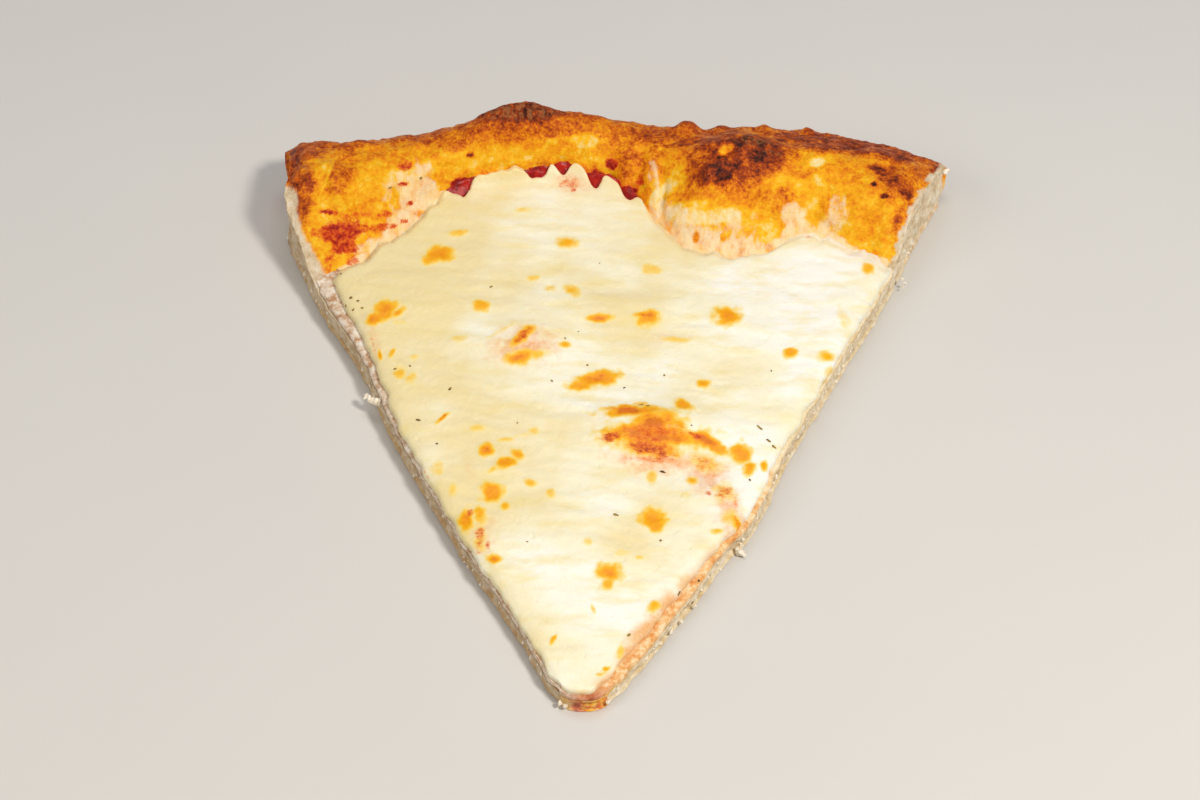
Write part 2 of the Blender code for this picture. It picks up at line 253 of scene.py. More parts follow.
def polar(x, y):
    awayX, awayY = x - cutPizza["centre"][0], y - cutPizza["centre"][1]
    return np.hypot(awayX, awayY), np.degrees(np.arctan2(awayX, awayY))


def behindTip(y):
    return y - cutPizza["centre"][1] - cutPizza["tipFromCentre"]


def plan(a, fromCentre, degrees):
    # a point of the slice seen from above; a runs from -1 at the left cut to 1 at the right one
    angle = np.radians(degrees)
    x = cutPizza["centre"][0] + fromCentre * np.sin(angle)
    y = cutPizza["centre"][1] + fromCentre * np.cos(angle)
    trim = 1 - ease(behindTip(y) / cutPizza["trimReach"])
    x = x - cutPizza["tipTrimRight"] * trim * (1 + a) / 2 + cutPizza["tipTrimLeft"] * trim * (1 - a) / 2
    nearLeft, nearRight = ((1 - a) / 2) ** cutPizza["waverFade"], ((1 + a) / 2) ** cutPizza["waverFade"]
    pinched = ease((fromCentre - cutPizza["pinchFrom"]) / cutPizza["pinchOver"])
    x = x + cutPizza["leftPinch"] * pinched * nearLeft
    x = x - between(cutPizza["leftWaver"], behindTip(y)) * nearLeft
    x = x + between(cutPizza["rightWaver"], behindTip(y)) * nearRight
    along = stacked(np.sign(a) * 9.0, y, 0.0)
    tear = cutPizza["tearReach"] * layered(along, cutPizza["tearSize"], 4, 3, 0.6)
    blunt = cutPizza["tipBlunt"] * np.abs(a) ** 3 * (1 - ease(behindTip(y) / cutPizza["bluntOver"]))
    return x + tear * np.abs(a) ** 40, y + blunt


bread = {
    "atTip": 3.2, "rise": 0.0235, "footBeforeCheese": 3.4,
    "backWidestAt": 6.5, "backUndercut": 6.0, "undercutReach": 12.0,
    "pulledShare": 0.25, "pulledReach": 6.0, "cutDrawnIn": 0.36, "cutEdge": 0.06,
    "edgeRadius": ((-23.3, 236), (-20, 236.5), (-17, 234), (-13.5, 232), (-5, 231), (1, 231),
                   (7, 230), (11, 234), (15, 235.5), (20, 236), (23.3, 235)),
    "ridgeFromBack": ((-23.3, 18), (-12, 16), (-6, 12), (0, 14), (7, 18), (12, 23), (23.3, 27)),
    "ridgeHeight": ((-23.3, 20), (-20, 19.5), (-17, 18), (-12, 18), (-5, 19.5), (2, 19),
                    (8, 19.5), (17, 19), (23.3, 18.5)),
    "fullness": ((-23.3, .5), (-12, .1), (0, .1), (6, .9), (14, .9), (23.3, .55)),
    # name: angle in degrees, distance from the rim's outline, half lengths along and across the rim, height
    "lumps": {
        "hump": (-6.2, 10, 12, 9, 7.5), "humpShoulder": (-1.6, 10, 13, 8, 2.2),
        "brownBlister": (9, 24, 12, 10, 4.5), "rightSwelling": (15.5, 21, 12, 9, 2.2),
        "middleHollow": (2.2, 22, 6, 7, -2), "leftSwelling": (-19, 26, 9, 10, 2),
    },
    # the same for the skin's own blisters and creases, which stand square to it
    "blisters": {
        "backBubble": (6.0, 8, 3, 3.4, 2.4), "backBubbleBeside": (8.2, 6, 2.2, 2, .8),
        "smallBackBubble": (11.2, 7, 1.9, 2.2, 1), "farBackBubble": (14, 6, 1.5, 1.5, .9),
        "glossyLobe": (2, 21.5, 3.4, 4.6, 2.4), "lobeBeside": (3.6, 24, 2.4, 3, 1.1),
        "darkTop": (11.2, 22.5, 7, 4.5, 1.3), "darkLobe": (8.4, 29.5, 5, 3.6, 1.6),
        "notchBetween": (9.3, 25.3, 2.4, 1.4, -1.5), "blisterFoot": (6.2, 37, 4, 3, 1.2),
        "footCrease": (4.6, 31, 1.4, 5, -1.2), "rightRoll": (13.4, 36, 5, 2.6, 1),
        "rightRollEnd": (17.6, 34, 4, 3, .9), "charRidge": (21.4, 24.5, 1.6, 7, .9),
        "leftRoll": (-19.6, 28, 2, 8, 1), "leftRollCrease": (-18.3, 28, 1, 8, -.8),
        "leftHollow": (-14.6, 24, 3, 4, -.8), "humpGrain": (-8.6, 14, 3, 2, .5),
        "slopeBubble": (-10.5, 17, 3, 2.6, .7), "slopeBubbleSmall": (-12.6, 13, 2, 2, .6),
        "leftTopBubble": (-16.2, 10, 4, 3, .8),
    },
    "unevenSize": 12.0, "unevenHeight": 1.0, "wrinkleSize": 7.0, "wrinkleHeight": 0.6,
    "pimpleSize": 2.6, "pimpleHeight": 0.16, "bakeUnderSauce": 0.2, "bakeOfBase": 0.6,
    "columns": 300, "coarse": 30, "flatRows": 250, "slopeRows": 62, "backRows": 36, "wallRows": 24,
    "poreSize": 2.6, "largePoreSize": (6.5, 6.5, 4.0), "poreDepth": 0.75, "smallPoreDepth": 0.22,
    "crumbSize": 5.5, "crumbDepth": 0.55, "fineCrumbSize": 0.9, "fineCrumbDepth": 0.16,
    # sauce on the tip's cut face: place across, half width and strength
    "tipReds": ((-9.8, 1.8, .7), (-4, 4, .35)), "tipSkinAt": -6, "tipSkinHalfWidth": 5.5,
    # where the skin is torn off at the left end: down the photograph, and how far across it the crumb reaches
    "tornLine": (
        (150, 255), (182, 276), (190, 294), (221, 299), (238, 305), (252, 313), (267, 321), (278, 326),
        (300, 330)),
}


def backRadius(degrees):
    return between(bread["edgeRadius"], degrees)


def footRadius(degrees):  # where the rim's inner slope starts, just inside the edge of the cheese
    return between(cheese["edgeRadius"], degrees) - bread["footBeforeCheese"]


def flatTop(y):
    return bread["atTip"] + bread["rise"] * behindTip(y)


def rimMounds(lumps, fromBack, degrees, blunt=1.0):
    # a sum of mounds, each its height times exp(-(along squared + across squared)); blunt flattens their tops
    total = 0.0
    for angle, middle, halfAlong, halfAcross, height in lumps.values():
        along = np.radians(degrees - angle) * cutPizza["radius"] / halfAlong
        across = (fromBack - middle) / halfAcross
        total = total + height * np.exp(-(along ** 2 + across ** 2) ** blunt)
    return total


def breadTop(x, y):
    # flat under the cheese, up the slope to the ridge, then a quarter ellipse down to the rim's widest height
    fromCentre, degrees = polar(x, y)
    fromBack = backRadius(degrees) - fromCentre
    foot, ridge = footRadius(degrees), between(bread["ridgeHeight"], degrees)
    ridgeBack = between(bread["ridgeFromBack"], degrees)
    around = stacked(np.radians(degrees) * cutPizza["radius"], fromBack, 0.0)
    lumps = rimMounds(bread["lumps"], fromBack, degrees)
    lumps = lumps + bread["unevenHeight"] * noise(around, bread["unevenSize"], 5)
    up = np.clip((fromCentre - foot) / np.maximum(fromCentre - foot + fromBack - ridgeBack, 1e-6), 0, 1)
    full = between(bread["fullness"], degrees)
    slope = (1 - full) * ease(up) + full * (1 - (1 - up ** 1.6) ** 2.2)
    rising = flatTop(y) + (ridge - flatTop(y)) * slope + lumps * ease(up / 0.33)
    down = np.clip((ridgeBack - fromBack) / ridgeBack, 0, 1)
    falling = bread["backWidestAt"] + (ridge - bread["backWidestAt"] + lumps) * np.sqrt(1 - down ** 2)
    height = np.where(fromBack >= ridgeBack, rising, falling)
    return np.where(fromCentre <= foot, flatTop(y), height)


def lean(x, y):
    # how much taller a layer stands on a slope, so that it keeps its thickness square to the slope
    step, most = 0.8, 1.8
    riseX = (breadTop(x + step, y) - breadTop(x - step, y)) / (2 * step)
    riseY = (breadTop(x, y + step) - breadTop(x, y - step)) / (2 * step)
    return np.minimum(most, np.sqrt(1 + riseX ** 2 + riseY ** 2))


def breadRadius(stretch, degrees):
    # the stretch runs 0 to 1 from tip to foot, to 2 at the ridge and, as a sine does, to 3 at the back
    tip = cutPizza["tipFromCentre"] / np.cos(np.radians(degrees))
    foot, ridgeBack = footRadius(degrees), between(bread["ridgeFromBack"], degrees)
    ridge = backRadius(degrees) - ridgeBack
    back = ridge + ridgeBack * np.sin(np.clip(stretch - 2, 0, 1) * math.pi / 2)
    return np.where(stretch <= 1, tip + (foot - tip) * stretch,
                    np.where(stretch <= 2, foot + (ridge - foot) * (stretch - 1), back))


def breadPoints(a, stretch, h):
    # h runs from 0 on the base to 1 on top; the back is drawn in below its widest height
    degrees = a * cutPizza["halfAngle"]
    fromCentre = breadRadius(stretch, degrees)
    x, y = plan(a, fromCentre, degrees)
    top = breadTop(x, y)
    fromCut = (1 - np.abs(a)) * math.radians(cutPizza["halfAngle"]) * fromCentre
    pulled = bread["pulledShare"] * (1 - ease(fromCut / bread["pulledReach"]))
    top = top - pulled * np.maximum(0, top - flatTop(y))
    z = h * top
    low = 1 - np.minimum(1, z / bread["backWidestAt"])
    nearBack = np.exp(-((backRadius(degrees) - fromCentre) / bread["undercutReach"]) ** 2)
    x, y = plan(a, fromCentre - bread["backUndercut"] * low ** 2 * nearBack, degrees)
    return stacked(x, y, z)


def rimRelief(points):
    # the skin's blisters, wrinkles and pimples, by their places on the rim
    fromCentre, degrees = polar(points[..., 0], points[..., 1])
    fromBack = backRadius(degrees) - fromCentre
    relief = rimMounds(bread["blisters"], fromBack, degrees, 1.5)
    relief = relief + bread["wrinkleHeight"] * layered(points, bread["wrinkleSize"], 21, 4, 0.55)
    pimples = dots(points, bread["pimpleSize"], 22, 0.45)
    return relief + bread["pimpleHeight"] * (pimples * 2 - 0.5)


def crumbRelief(points):
    # torn crumb: broad lumps less the pores of three sizes, which are rounded pits round strewn points
    pores = dots(points, bread["poreSize"], 31, 0.5)
    largePores = dots(points, bread["largePoreSize"], 35, 0.4)
    smallPores = dots(points, bread["poreSize"] * 0.42, 33, 0.5)
    lumps = bread["crumbDepth"] * noise(points, bread["crumbSize"], 32)
    lumps = lumps + bread["fineCrumbDepth"] * noise(points, bread["fineCrumbSize"], 34)
    pits = bread["poreDepth"] * (0.8 * np.sqrt(pores) + np.sqrt(largePores))
    pits = pits + bread["smallPoreDepth"] * np.sqrt(smallPores)
    return lumps - pits, np.maximum(pores, largePores)


def cutWall(top, base, outward):
    # a cut face from a row of the base to the same row of the top, drawn in a little, with the crumb's relief
    rise = np.linspace(0, 1, bread["wallRows"] + 1)
    points = base[:, None] + (top - base)[:, None] * rise[None, :, None]
    relief, pores = crumbRelief(points)
    edge = ease(rise / bread["cutEdge"]) * ease((1 - rise) / bread["cutEdge"])
    return points + outward * ((relief - bread["cutDrawnIn"]) * edge)[..., None], pores * edge


def makeBread(material):
    across = np.linspace(-1, 1, bread["columns"] + 1)[:, None]
    acrossCoarse = np.linspace(-1, 1, bread["coarse"] + 1)[:, None]
    flatRows = np.linspace(0, 1, bread["flatRows"] + 1)
    slopeRows, backRows = np.linspace(1, 2, bread["slopeRows"] + 1), np.linspace(2, 3, bread["backRows"] + 1)
    rimRows = np.concatenate([slopeRows, backRows[1:]])
    wallHeights = np.linspace(1, 0, bread["wallRows"] + 1)

    rim = breadPoints(across, rimRows[None, :], 1.0)
    backWall = breadPoints(across, 3.0, wallHeights[None, 1:])
    skin = np.concatenate([rim, backWall], axis=1)
    normal = gridNormals(skin)
    fadeIn = ease((rimRows - 1) / 0.12)
    fadeOut = ease(wallHeights[1:] / 0.25)
    fade = np.concatenate([fadeIn, fadeOut])[None, :]
    skin = skin + normal * (rimRelief(skin) * fade)[..., None]
    skin[..., 2] = np.maximum(skin[..., 2], 0.0)

    flat = breadPoints(acrossCoarse, flatRows[None, :], 1.0)
    base = breadPoints(acrossCoarse, np.concatenate([flatRows, rimRows[1:]])[None, :], 0.0)
    angle = math.radians(cutPizza["halfAngle"])
    patches = [
        gridPatch(skin, **paintRim(skin, normal)),
        gridPatch(flat[:, :-1], bake=bread["bakeUnderSauce"]),
        stripPatch(flat[:, -2], skin[:, 0], bake=bread["bakeUnderSauce"]),
        gridPatch(base[:, :-1], bake=bread["bakeOfBase"], base=1.0),
        stripPatch(base[:, -2], skin[:, -1], bake=bread["bakeOfBase"], base=1.0),
    ]
    walls = {}
    for name, column, outwardX in (("left", 0, -math.cos(angle)), ("right", -1, math.cos(angle))):
        top = np.concatenate([flat[column, :-1], skin[column, :len(rimRows)]])
        foot = np.concatenate([base[column, :-1], skin[column, -1:]])
        wall, pores = cutWall(top, foot, np.array((outwardX, -math.sin(angle), 0)))
        wall[-1] = skin[column, len(rimRows) - 1:][::-1]
        walls[name] = gridPatch(wall, **paintWall(wall, pores, name))
    tip, pores = cutWall(flat[:, 0], base[:, 0], np.array((0.0, -1.0, 0.0)))
    tip[0], tip[-1] = [walls[name]["points"].reshape(wall.shape)[0] for name in ("left", "right")]
    tipWall = gridPatch(tip, **paintWall(tip, pores, "tip"))
    mesh = weldedMesh("bread", [tipWall, walls["left"], walls["right"]] + patches, 55)
    return placed("bread", mesh, material, "bread")


# Where the skin is paler, browner, charred or stained, in the photograph's pixels:
# across, down, half width, half height, tilt, and how baked that place is or how strong its stain
crustBakes = {
    "leftCorner": (292, 160, 12, 22, 0, .80), "leftEnd": (303, 190, 13, 30, 0, .76),
    "leftTopEdge": (345, 142, 60, 7, 0, .66), "leftGold": (385, 150, 34, 9, 4, .50),
    "leftMound": (340, 174, 14, 24, -14, .60), "leftFold": (327, 178, 1.6, 24, -22, .30),
    "leftFoldFoot": (343, 203, 8, 10, 0, .30), "leftBrown": (312, 150, 14, 9, 0, .70),
    "goldBelowTop": (420, 152, 26, 8, 0, .42), "paleBelow": (400, 176, 26, 9, 8, .26),
    "yellowSlope": (480, 160, 62, 11, 5, .30), "yellowSlopeRight": (570, 155, 40, 9, -6, .33),
    "humpFront": (520, 132, 66, 9, 2, .66), "humpLow": (470, 141, 40, 7, 10, .54),
    "humpTop": (518, 113, 46, 10, 3, .88), "humpRight": (585, 125, 34, 7, -6, .60),
    "creamPatch": (585, 141, 17, 8, -4, .20), "creamPatchBeside": (552, 142, 7, 4, 0, .22),
    "brownFleck": (470, 155, 4, 3, 0, .85), "slopeBrown": (455, 148, 9, 4, 0, .62),
    "topMiddle": (640, 128, 40, 8, -2, .60), "lobe": (628, 172, 14, 19, 0, .48),
    "betweenLobes": (655, 160, 16, 14, 0, .50), "redBrownLine": (684, 144, 26, 3, 6, .74),
    "backBubble": (694, 130, 13, 9, 0, .58), "creamStreak": (678, 176, 7, 28, -42, .12),
    "creamStreakLow": (655, 199, 8, 10, -40, .10), "blisterAround": (738, 163, 66, 30, 0, .66),
    "blisterBetween": (737, 158, 46, 24, -20, .78), "blisterTop": (755, 148, 32, 14, -8, .80),
    "blisterLobe": (717, 172, 27, 13, 12, .80), "darkest": (724, 174, 9, 6, 0, .90),
    "darkTopSpot": (762, 156, 12, 5, 10, .88), "darkTopLeft": (735, 142, 10, 5, 0, .86),
    "notch": (727, 149, 8, 5, 20, .34), "blisterFront": (700, 195, 32, 8, 8, .50),
    "rightTop": (830, 142, 64, 11, -6, .78), "rightTopFar": (900, 154, 38, 9, -14, .76),
    "topMiddleRight": (660, 136, 26, 7, 0, .70), "yellowGold": (805, 183, 50, 12, 0, .31),
    "orangePatch": (785, 195, 11, 8, 0, .58), "orangePatchUp": (800, 172, 14, 6, 0, .56),
    "creamRight": (817, 162, 10, 5, 0, .12), "goldMiddle": (850, 170, 24, 14, 0, .50),
    "pinkFoot": (712, 216, 44, 9, 4, .15), "footPale": (690, 206, 26, 7, 6, .24),
    "yellowStreak": (770, 230, 11, 10, 0, .24), "yellowArc": (813, 214, 13, 18, 0, .26),
    "yellowGoldRight": (865, 214, 16, 28, 0, .40), "orangeDotA": (694, 237, 4, 5, 0, .52),
    "orangeDotB": (723, 239, 3, 3, 0, .50), "rightLow": (890, 232, 10, 12, 0, .44),
    "rightEnd": (925, 175, 22, 14, -30, .60), "rightEndLow": (905, 215, 10, 20, -30, .56),
    "orangeDotRight": (899, 220, 5, 5, 0, .66), "charTop": (882, 171, 11, 5, -30, 1.0),
    "charMiddle": (893, 180, 12, 6, -42, 1.05), "charLow": (904, 190, 10, 6, -50, 1.0),
    "charAround": (895, 182, 24, 12, -42, .72), "smallCharA": (874, 184, 4, 3, 0, .96),
    "smallCharB": (884, 196, 5, 3, 0, .93), "rightTip": (940, 170, 8, 7, 0, .72),
}
crustReds = {
    "redStreakDark": (329, 212, 12, 3, -4, .9), "redStreakMiddle": (341, 231, 28, 12, 8, .84),
    "redStreakLow": (346, 247, 18, 9, 0, .72), "redStreakRight": (382, 227, 20, 4, 8, .66),
    "redStreakTop": (358, 216, 22, 4, 6, .55), "redStreakFoot": (352, 260, 8, 6, 0, .6),
    "brownStrip": (327, 266, 7, 17, -18, .5), "orangeStreak": (384, 214, 11, 6, 0, .5),
    "sauceSpotA": (403, 184, 6, 3, 0, .95), "sauceSpotB": (410, 203, 4, 3, 0, .9),
    "byCheese": (405, 166, 8, 7, 0, .6), "leftUnder": (345, 222, 22, 5, 10, .55),
    "leftEndRed": (300, 180, 9, 20, 0, .35), "cheeseFoot": (404, 221, 5, 2.4, 0, .9),
    "sauceLine": (500, 176, 28, 3, 3, .75), "sauceMiddle": (538, 170, 12, 4, 0, .9),
    "sauceMiddleB": (563, 164, 8, 4, 0, .9), "sauceC": (596, 175, 9, 9, 0, .95),
    "sauceDark": (612, 164, 7, 7, 30, 1.0), "underLobe": (629, 190, 11, 5, 0, .95),
    "lobeSide": (640, 180, 5, 8, 0, .7), "triangle": (462, 184, 14, 8, 0, .95),
    "redByFoot": (650, 190, 5, 4, 0, .4),
}
crustTans = {
    "humpTop": (517, 112, 42, 8, 3, .65), "blisterSpeckle": (752, 140, 22, 6, -8, .5),
    "leftMauve": (305, 167, 7, 8, 0, .55), "blisterSpeckleLow": (770, 153, 10, 4, 0, .4),
}
crustWhites = {
    "foot": (712, 218, 50, 9, 4, .5), "leftPatch": (412, 192, 28, 24, 0, .64),
    "leftPatchLow": (372, 246, 22, 10, 8, .55), "footRight": (740, 232, 40, 10, 0, .4),
    "rightFoot": (845, 236, 20, 10, 0, .35), "rightStreak": (792, 214, 12, 14, 0, .62),
    "rightStreakBeside": (838, 214, 11, 20, 0, .72), "byLobe": (654, 178, 7, 18, 10, .5),
}
# where the cheese that stuck to the crust has browned, so that it no longer shows white
crustGolds = {
    "yellowStreak": (770, 229, 10, 14, 0, .9), "yellowArc": (815, 216, 9, 14, 0, .85),
    "orangeDotA": (696, 237, 4, 7, -12, .8), "orangeDotB": (723, 238, 3, 5, 0, .8),
    "underLobe": (722, 203, 32, 6, 4, .9), "orangePatch": (785, 195, 12, 8, 0, .95),
    "rightGold": (862, 226, 16, 22, 0, .9), "leftMixA": (438, 174, 11, 8, 0, .7),
    "leftMixB": (396, 202, 5, 9, 0, .6), "leftMixC": (420, 214, 9, 4, 0, .5),
    "footOrange": (745, 216, 4, 9, 0, .6), "footOrangeLeft": (672, 222, 3, 9, -20, .5),
}


def wobbleOf(points, seed):
    return 0.30 * noise(points, 3.4, seed) + 0.16 * noise(points, 1.3, seed + 1)


def tornOff(points, across, down):  # 1 where the crumb shows left of the torn skin's line, 0 right of it
    return ease((between(bread["tornLine"], down) - across) / 4 + 0.5 + 0.6 * noise(points, 2.0, 56))


def paintRim(points, normal):
    # baking: browner on high places and at the back, paler down the inner slope; then the places named above
    places = photoPlace(points)
    _, ahead, _, _ = photoAxes()
    facing = ease(-(normal @ ahead) / 0.25)
    fromCentre, degrees = polar(points[..., 0], points[..., 1])
    fromBack = backRadius(degrees) - fromCentre
    height = points[..., 2]
    bake = 0.40 + 0.08 * layered(points, 14.0, 41, 3)
    bake = bake + (0.26 + 0.12 * noise(points, 26.0, 43)) * ease((25 - fromBack) / 17)  # browner behind
    bake = bake - 0.16 * ease((7.0 - height) / 6.0) * ease((8.0 - fromBack) / 6.0)  # pale by the back's foot
    bake = bake + 0.22 * ease((1.6 - height) / 1.4)  # browned where it lay on the oven's floor
    relief = rimMounds(bread["blisters"], fromBack, degrees)
    relief = relief + layered(points, bread["wrinkleSize"], 21, 2) * 0.5
    wobble = wobbleOf(points, 42)
    for spot in crustBakes.values():
        share = mark(places, spot, wobble) * facing * 0.9
        bake = bake * (1 - share) + spot[5] * share
    bake = bake + 0.05 * relief + 0.05 * layered(points, 3.0, 44, 3)
    # cheese that stuck to the crust past its edge, in streaks down the slope
    streaks = stacked(np.radians(degrees) * cutPizza["radius"] / 2.2, fromCentre / 7.0, 0.0)
    past = (fromCentre - between(cheese["edgeRadius"], degrees)) / between(cheese["stuckReach"], degrees)
    stuck = 1 - ease((past - 0.6 + 0.5 * noise(streaks, 1.0, 46) + 0.3 * noise(points, 2.4, 47)) / 0.7)
    stuck = 0.8 * stuck * (1 - overSauce(degrees))
    paint = {"bake": bake}
    for name, spots in (("red", crustReds), ("tan", crustTans), ("white", crustWhites)):
        paint[name] = strongest(places, spots, wobble) * facing
    paint["white"] = np.maximum(paint["white"], stuck)
    for spot in crustGolds.values():
        paint["white"] = paint["white"] * (1 - spot[5] * mark(places, spot, wobble))
    # bare crumb: a ragged band by the right cut, and left of the torn skin's line
    tornRight = ease((degrees - 23.05 + 0.3 * layered(points, 3.5, 57, 2)) / 0.08)
    tornLeft = tornOff(points, *places) * facing * ease((-14 - degrees) / 3)
    paint["crumb"] = np.maximum(tornLeft, tornRight)
    # the torn crumb on the rim is made a little darker with the paint that darkens the cut faces' pores
    paint["poreShadeAndTone"] = 0.35 * paint["crumb"]
    return paint


def paintWall(points, pores, side):
    # the crumb, with a thin line of skin pulled over its top edge; at the rim's left end, what isn't torn off
    z = points[..., 2]
    top = z.max() if side == "tip" else z[:, -1:]  # the tip's top is nearly level
    fromCentre, degrees = polar(points[..., 0], points[..., 1])
    rim = ease((fromCentre - 196) / 14)
    if side == "left":
        crumb = 1 - rim * (1 - tornOff(points, *photoPlace(points)))
    else:
        pulled = 0.4 * rim - 0.5 + (0.2 + 0.3 * rim) * noise(points, 4.0, 51)
        crumb = 1 - ease((z - (top - pulled)) / 0.5 + 0.5)
    # a browned line along the base, and skin round the back's edge
    floorLine = 1 - ease((z - 0.5 - 0.3 * noise(points, 3.0, 52)) / 0.4)
    crumb = crumb * (1 - 0.2 * floorLine)
    backEdge = ease((fromCentre - backRadius(degrees) + 3.5) / 3.0)
    crumb = crumb * (1 - backEdge * rim)
    bake = (0.34 if side == "left" else 0.12) + 0.32 * rim + 0.05 * layered(points, 3.0, 44, 3)
    red = 0.35 * (1 - rim) * ease((z - (top - 0.8)) / 0.6) * ease(noise(points, 7.0, 53) + 0.2)
    if side == "tip":
        x = points[..., 0]
        red = 0.18 + 0.2 * noise(points, 1.6, 54)
        for middle, halfWidth, strength in bread["tipReds"]:
            red = red + strength * np.exp(-((x - middle) / halfWidth) ** 2)
        skinned = np.exp(-((x - bread["tipSkinAt"]) / bread["tipSkinHalfWidth"]) ** 2)
        crumb = crumb * (0.7 - 0.65 * skinned)
        bake = bake + 0.18
    # painted shade: the pits are painted darker, and the whole left cut face more so, as it faces away from
    # the key light
    poreShadeAndTone = 0.9 * pores + (0.42 if side == "left" else 0)
    return {"bake": bake, "crumb": crumb, "poreShadeAndTone": poreShadeAndTone, "red": red * (1 - 0.6 * crumb)}


# The layers on the bread

def layerPlan(shape, a, b, pastEdge, share, sideShare):
    # a sheet seen from above, inside the cut; b runs from 0 at the tip to 1 at its edge on the rim
    behind = b * cheese["length"]
    inset = np.where(a < 0, between(cheese["leftInset"], behind), between(cheese["rightInset"], behind))
    halfWidth = (behind + cutPizza["tipFromCentre"]) * math.radians(cutPizza["halfAngle"])
    degrees = a * (1 - share * inset / halfWidth) * cutPizza["halfAngle"]
    tip = (cutPizza["tipFromCentre"] + cheese["tipInset"] * share) / np.cos(np.radians(degrees))
    edge = footRadius(degrees) + bread["footBeforeCheese"] + pastEdge(degrees)
    foot = np.minimum(footRadius(degrees), edge - 1.5)
    low = tip + (foot - tip) * b / shape["flatShare"]
    high = foot + (edge - foot) * (b - shape["flatShare"]) / (1 - shape["flatShare"])
    x, y = plan(a, np.where(b <= shape["flatShare"], low, high), degrees)
    ragged = sideShare * noise(stacked(x, y, 0.0), 5.0, 61) * np.abs(a) ** 30
    return x + ragged * np.sign(a), y


def sheetPatches(shape, top, bottomOf, paint):
    # a closed sheet: its fine top, its walls, and a coarse underside joined to them by strips
    columns, rows = shape["columns"], shape["rows"]
    a, b = np.linspace(-1, 1, columns + 1)[:, None], np.linspace(0, 1, rows + 1)[None, :]
    bottom = bottomOf(a, b)
    paint = {name: np.broadcast_to(value, top.shape[:2]) for name, value in paint.items()}
    patches = [gridPatch(top, **paint)]
    loopTop, loopBottom = allRound(top), allRound(bottom)
    rise = np.linspace(0, 1, shape["wallRows"] + 1)[None, :, None]
    wall = loopBottom[:, None] + (loopTop - loopBottom)[:, None] * rise
    patches.append(gridPatch(wall, **{name: allRound(value)[:, None] for name, value in paint.items()}))
    sideTo, tipFrom = 0.97, 0.012  # the coarse part of the underside stays inside the outline
    inA = np.linspace(-sideTo, sideTo, shape["coarseColumns"] + 1)[:, None]
    inB = np.linspace(tipFrom, shape["underTo"], shape["coarseRows"] + 1)[None, :]
    under = bottomOf(inA, inB)
    patches += [gridPatch(under), stripPatch(allRound(under), loopBottom)]
    return patches


sauce = {
    "gap": 0.5, "startsAt": 0.25, "thickness": 0.7, "thinnest": 0.12, "insetShare": 0.12, "edgeRound": 1.6,
    "pulpSize": 2.4, "pulpHeight": 0.22, "halfWidthMidway": 60, "halfWidthAtRim": 80,
    "pastCheese": (
        (-23.3, .4), (-21.5, .2), (-19.5, -2.6), (-14, -2.6), (-12.2, -2.6), (-11.5, -.4), (-10.3, .2),
        (-9.2, .1), (-8.5, 0), (-7, -.1), (-5.6, -.1), (-4.6, .6), (-3.6, .9), (-2.6, 2), (-1, 1.2),
        (1, 2.5), (2.2, 2.7), (3, .6), (3.6, -2.6), (6, -2.6), (23.3, -2.6)),
    "columns": 200, "rows": 240, "coarseColumns": 20, "coarseRows": 24, "wallRows": 2,
    "flatShare": 0.8, "underTo": 0.988,
}


def saucePlan(a, b):
    return layerPlan(sauce, a, b, lambda d: between(sauce["pastCheese"], d), sauce["insetShare"], 0.2)


def sauceBottom(a, b):
    x, y = saucePlan(a, b)
    return stacked(x, y, breadTop(x, y) + sauce["startsAt"] * lean(x, y))


def fromRimEdge(planOf, a, b):  # how far a sheet's points lie inside its edge on the rim
    return np.maximum(0, polar(*planOf(a, np.ones(np.shape(b))))[0] - polar(*planOf(a, b))[0])


def makeSauce(material):
    a = np.linspace(-1, 1, sauce["columns"] + 1)[:, None]
    b = np.linspace(0, 1, sauce["rows"] + 1)[None, :]
    low = sauceBottom(a, b)
    x, y = low[..., 0], low[..., 1]
    fromRim, onSauce = fromRimEdge(saucePlan, a, b), overSauce(polar(x, y)[1])
    edge = np.minimum((1 - np.abs(a)) * sauce["halfWidthMidway"], np.minimum(fromRim, b * cheese["length"]))
    swell = 0.4 + 0.6 * np.sqrt(1 - (1 - np.minimum(1, edge / sauce["edgeRound"])) ** 2)
    pulp = sauce["pulpHeight"] * layered(low, sauce["pulpSize"], 71, 3)
    shows = ease((b - 0.90) / 0.06) * onSauce
    thick = (sauce["gap"] - sauce["startsAt"] + sauce["thickness"]) * swell + pulp * (0.3 + 1.6 * shows)
    thick = thick * (1 - 0.85 * (1 - onSauce) * (1 - ease((fromRim - 0.5) / 5)))
    top = stacked(x, y, low[..., 2] + np.maximum(sauce["thinnest"], thick) * lean(x, y))
    fromCut = (1 - np.abs(a)) * sauce["halfWidthAtRim"]
    # wet in a band by the rim, away from the cuts, and a thin dry film elsewhere, with less of it at the tip
    film = 1 - (1 - ease((fromRim - 9) / 4)) * ease((fromCut - 6) / 3)
    film = film - 0.7 * np.exp(-(behindTip(y) / 3.5) ** 2 - ((x + 6.5) / 5.0) ** 2)
    # painted shade: the film turns greyer brown over the slice's left half, the side away from the key light
    paint = {"film": film, "brown": 1 - ease((a + 0.5) / 0.5), "peach": 1 - ease((b - 0.30) / 0.16)}
    mesh = weldedMesh("tomatoSauce", sheetPatches(sauce, top, sauceBottom, paint), 60)
    return placed("tomatoSauce", mesh, material, "tomato_sauce")


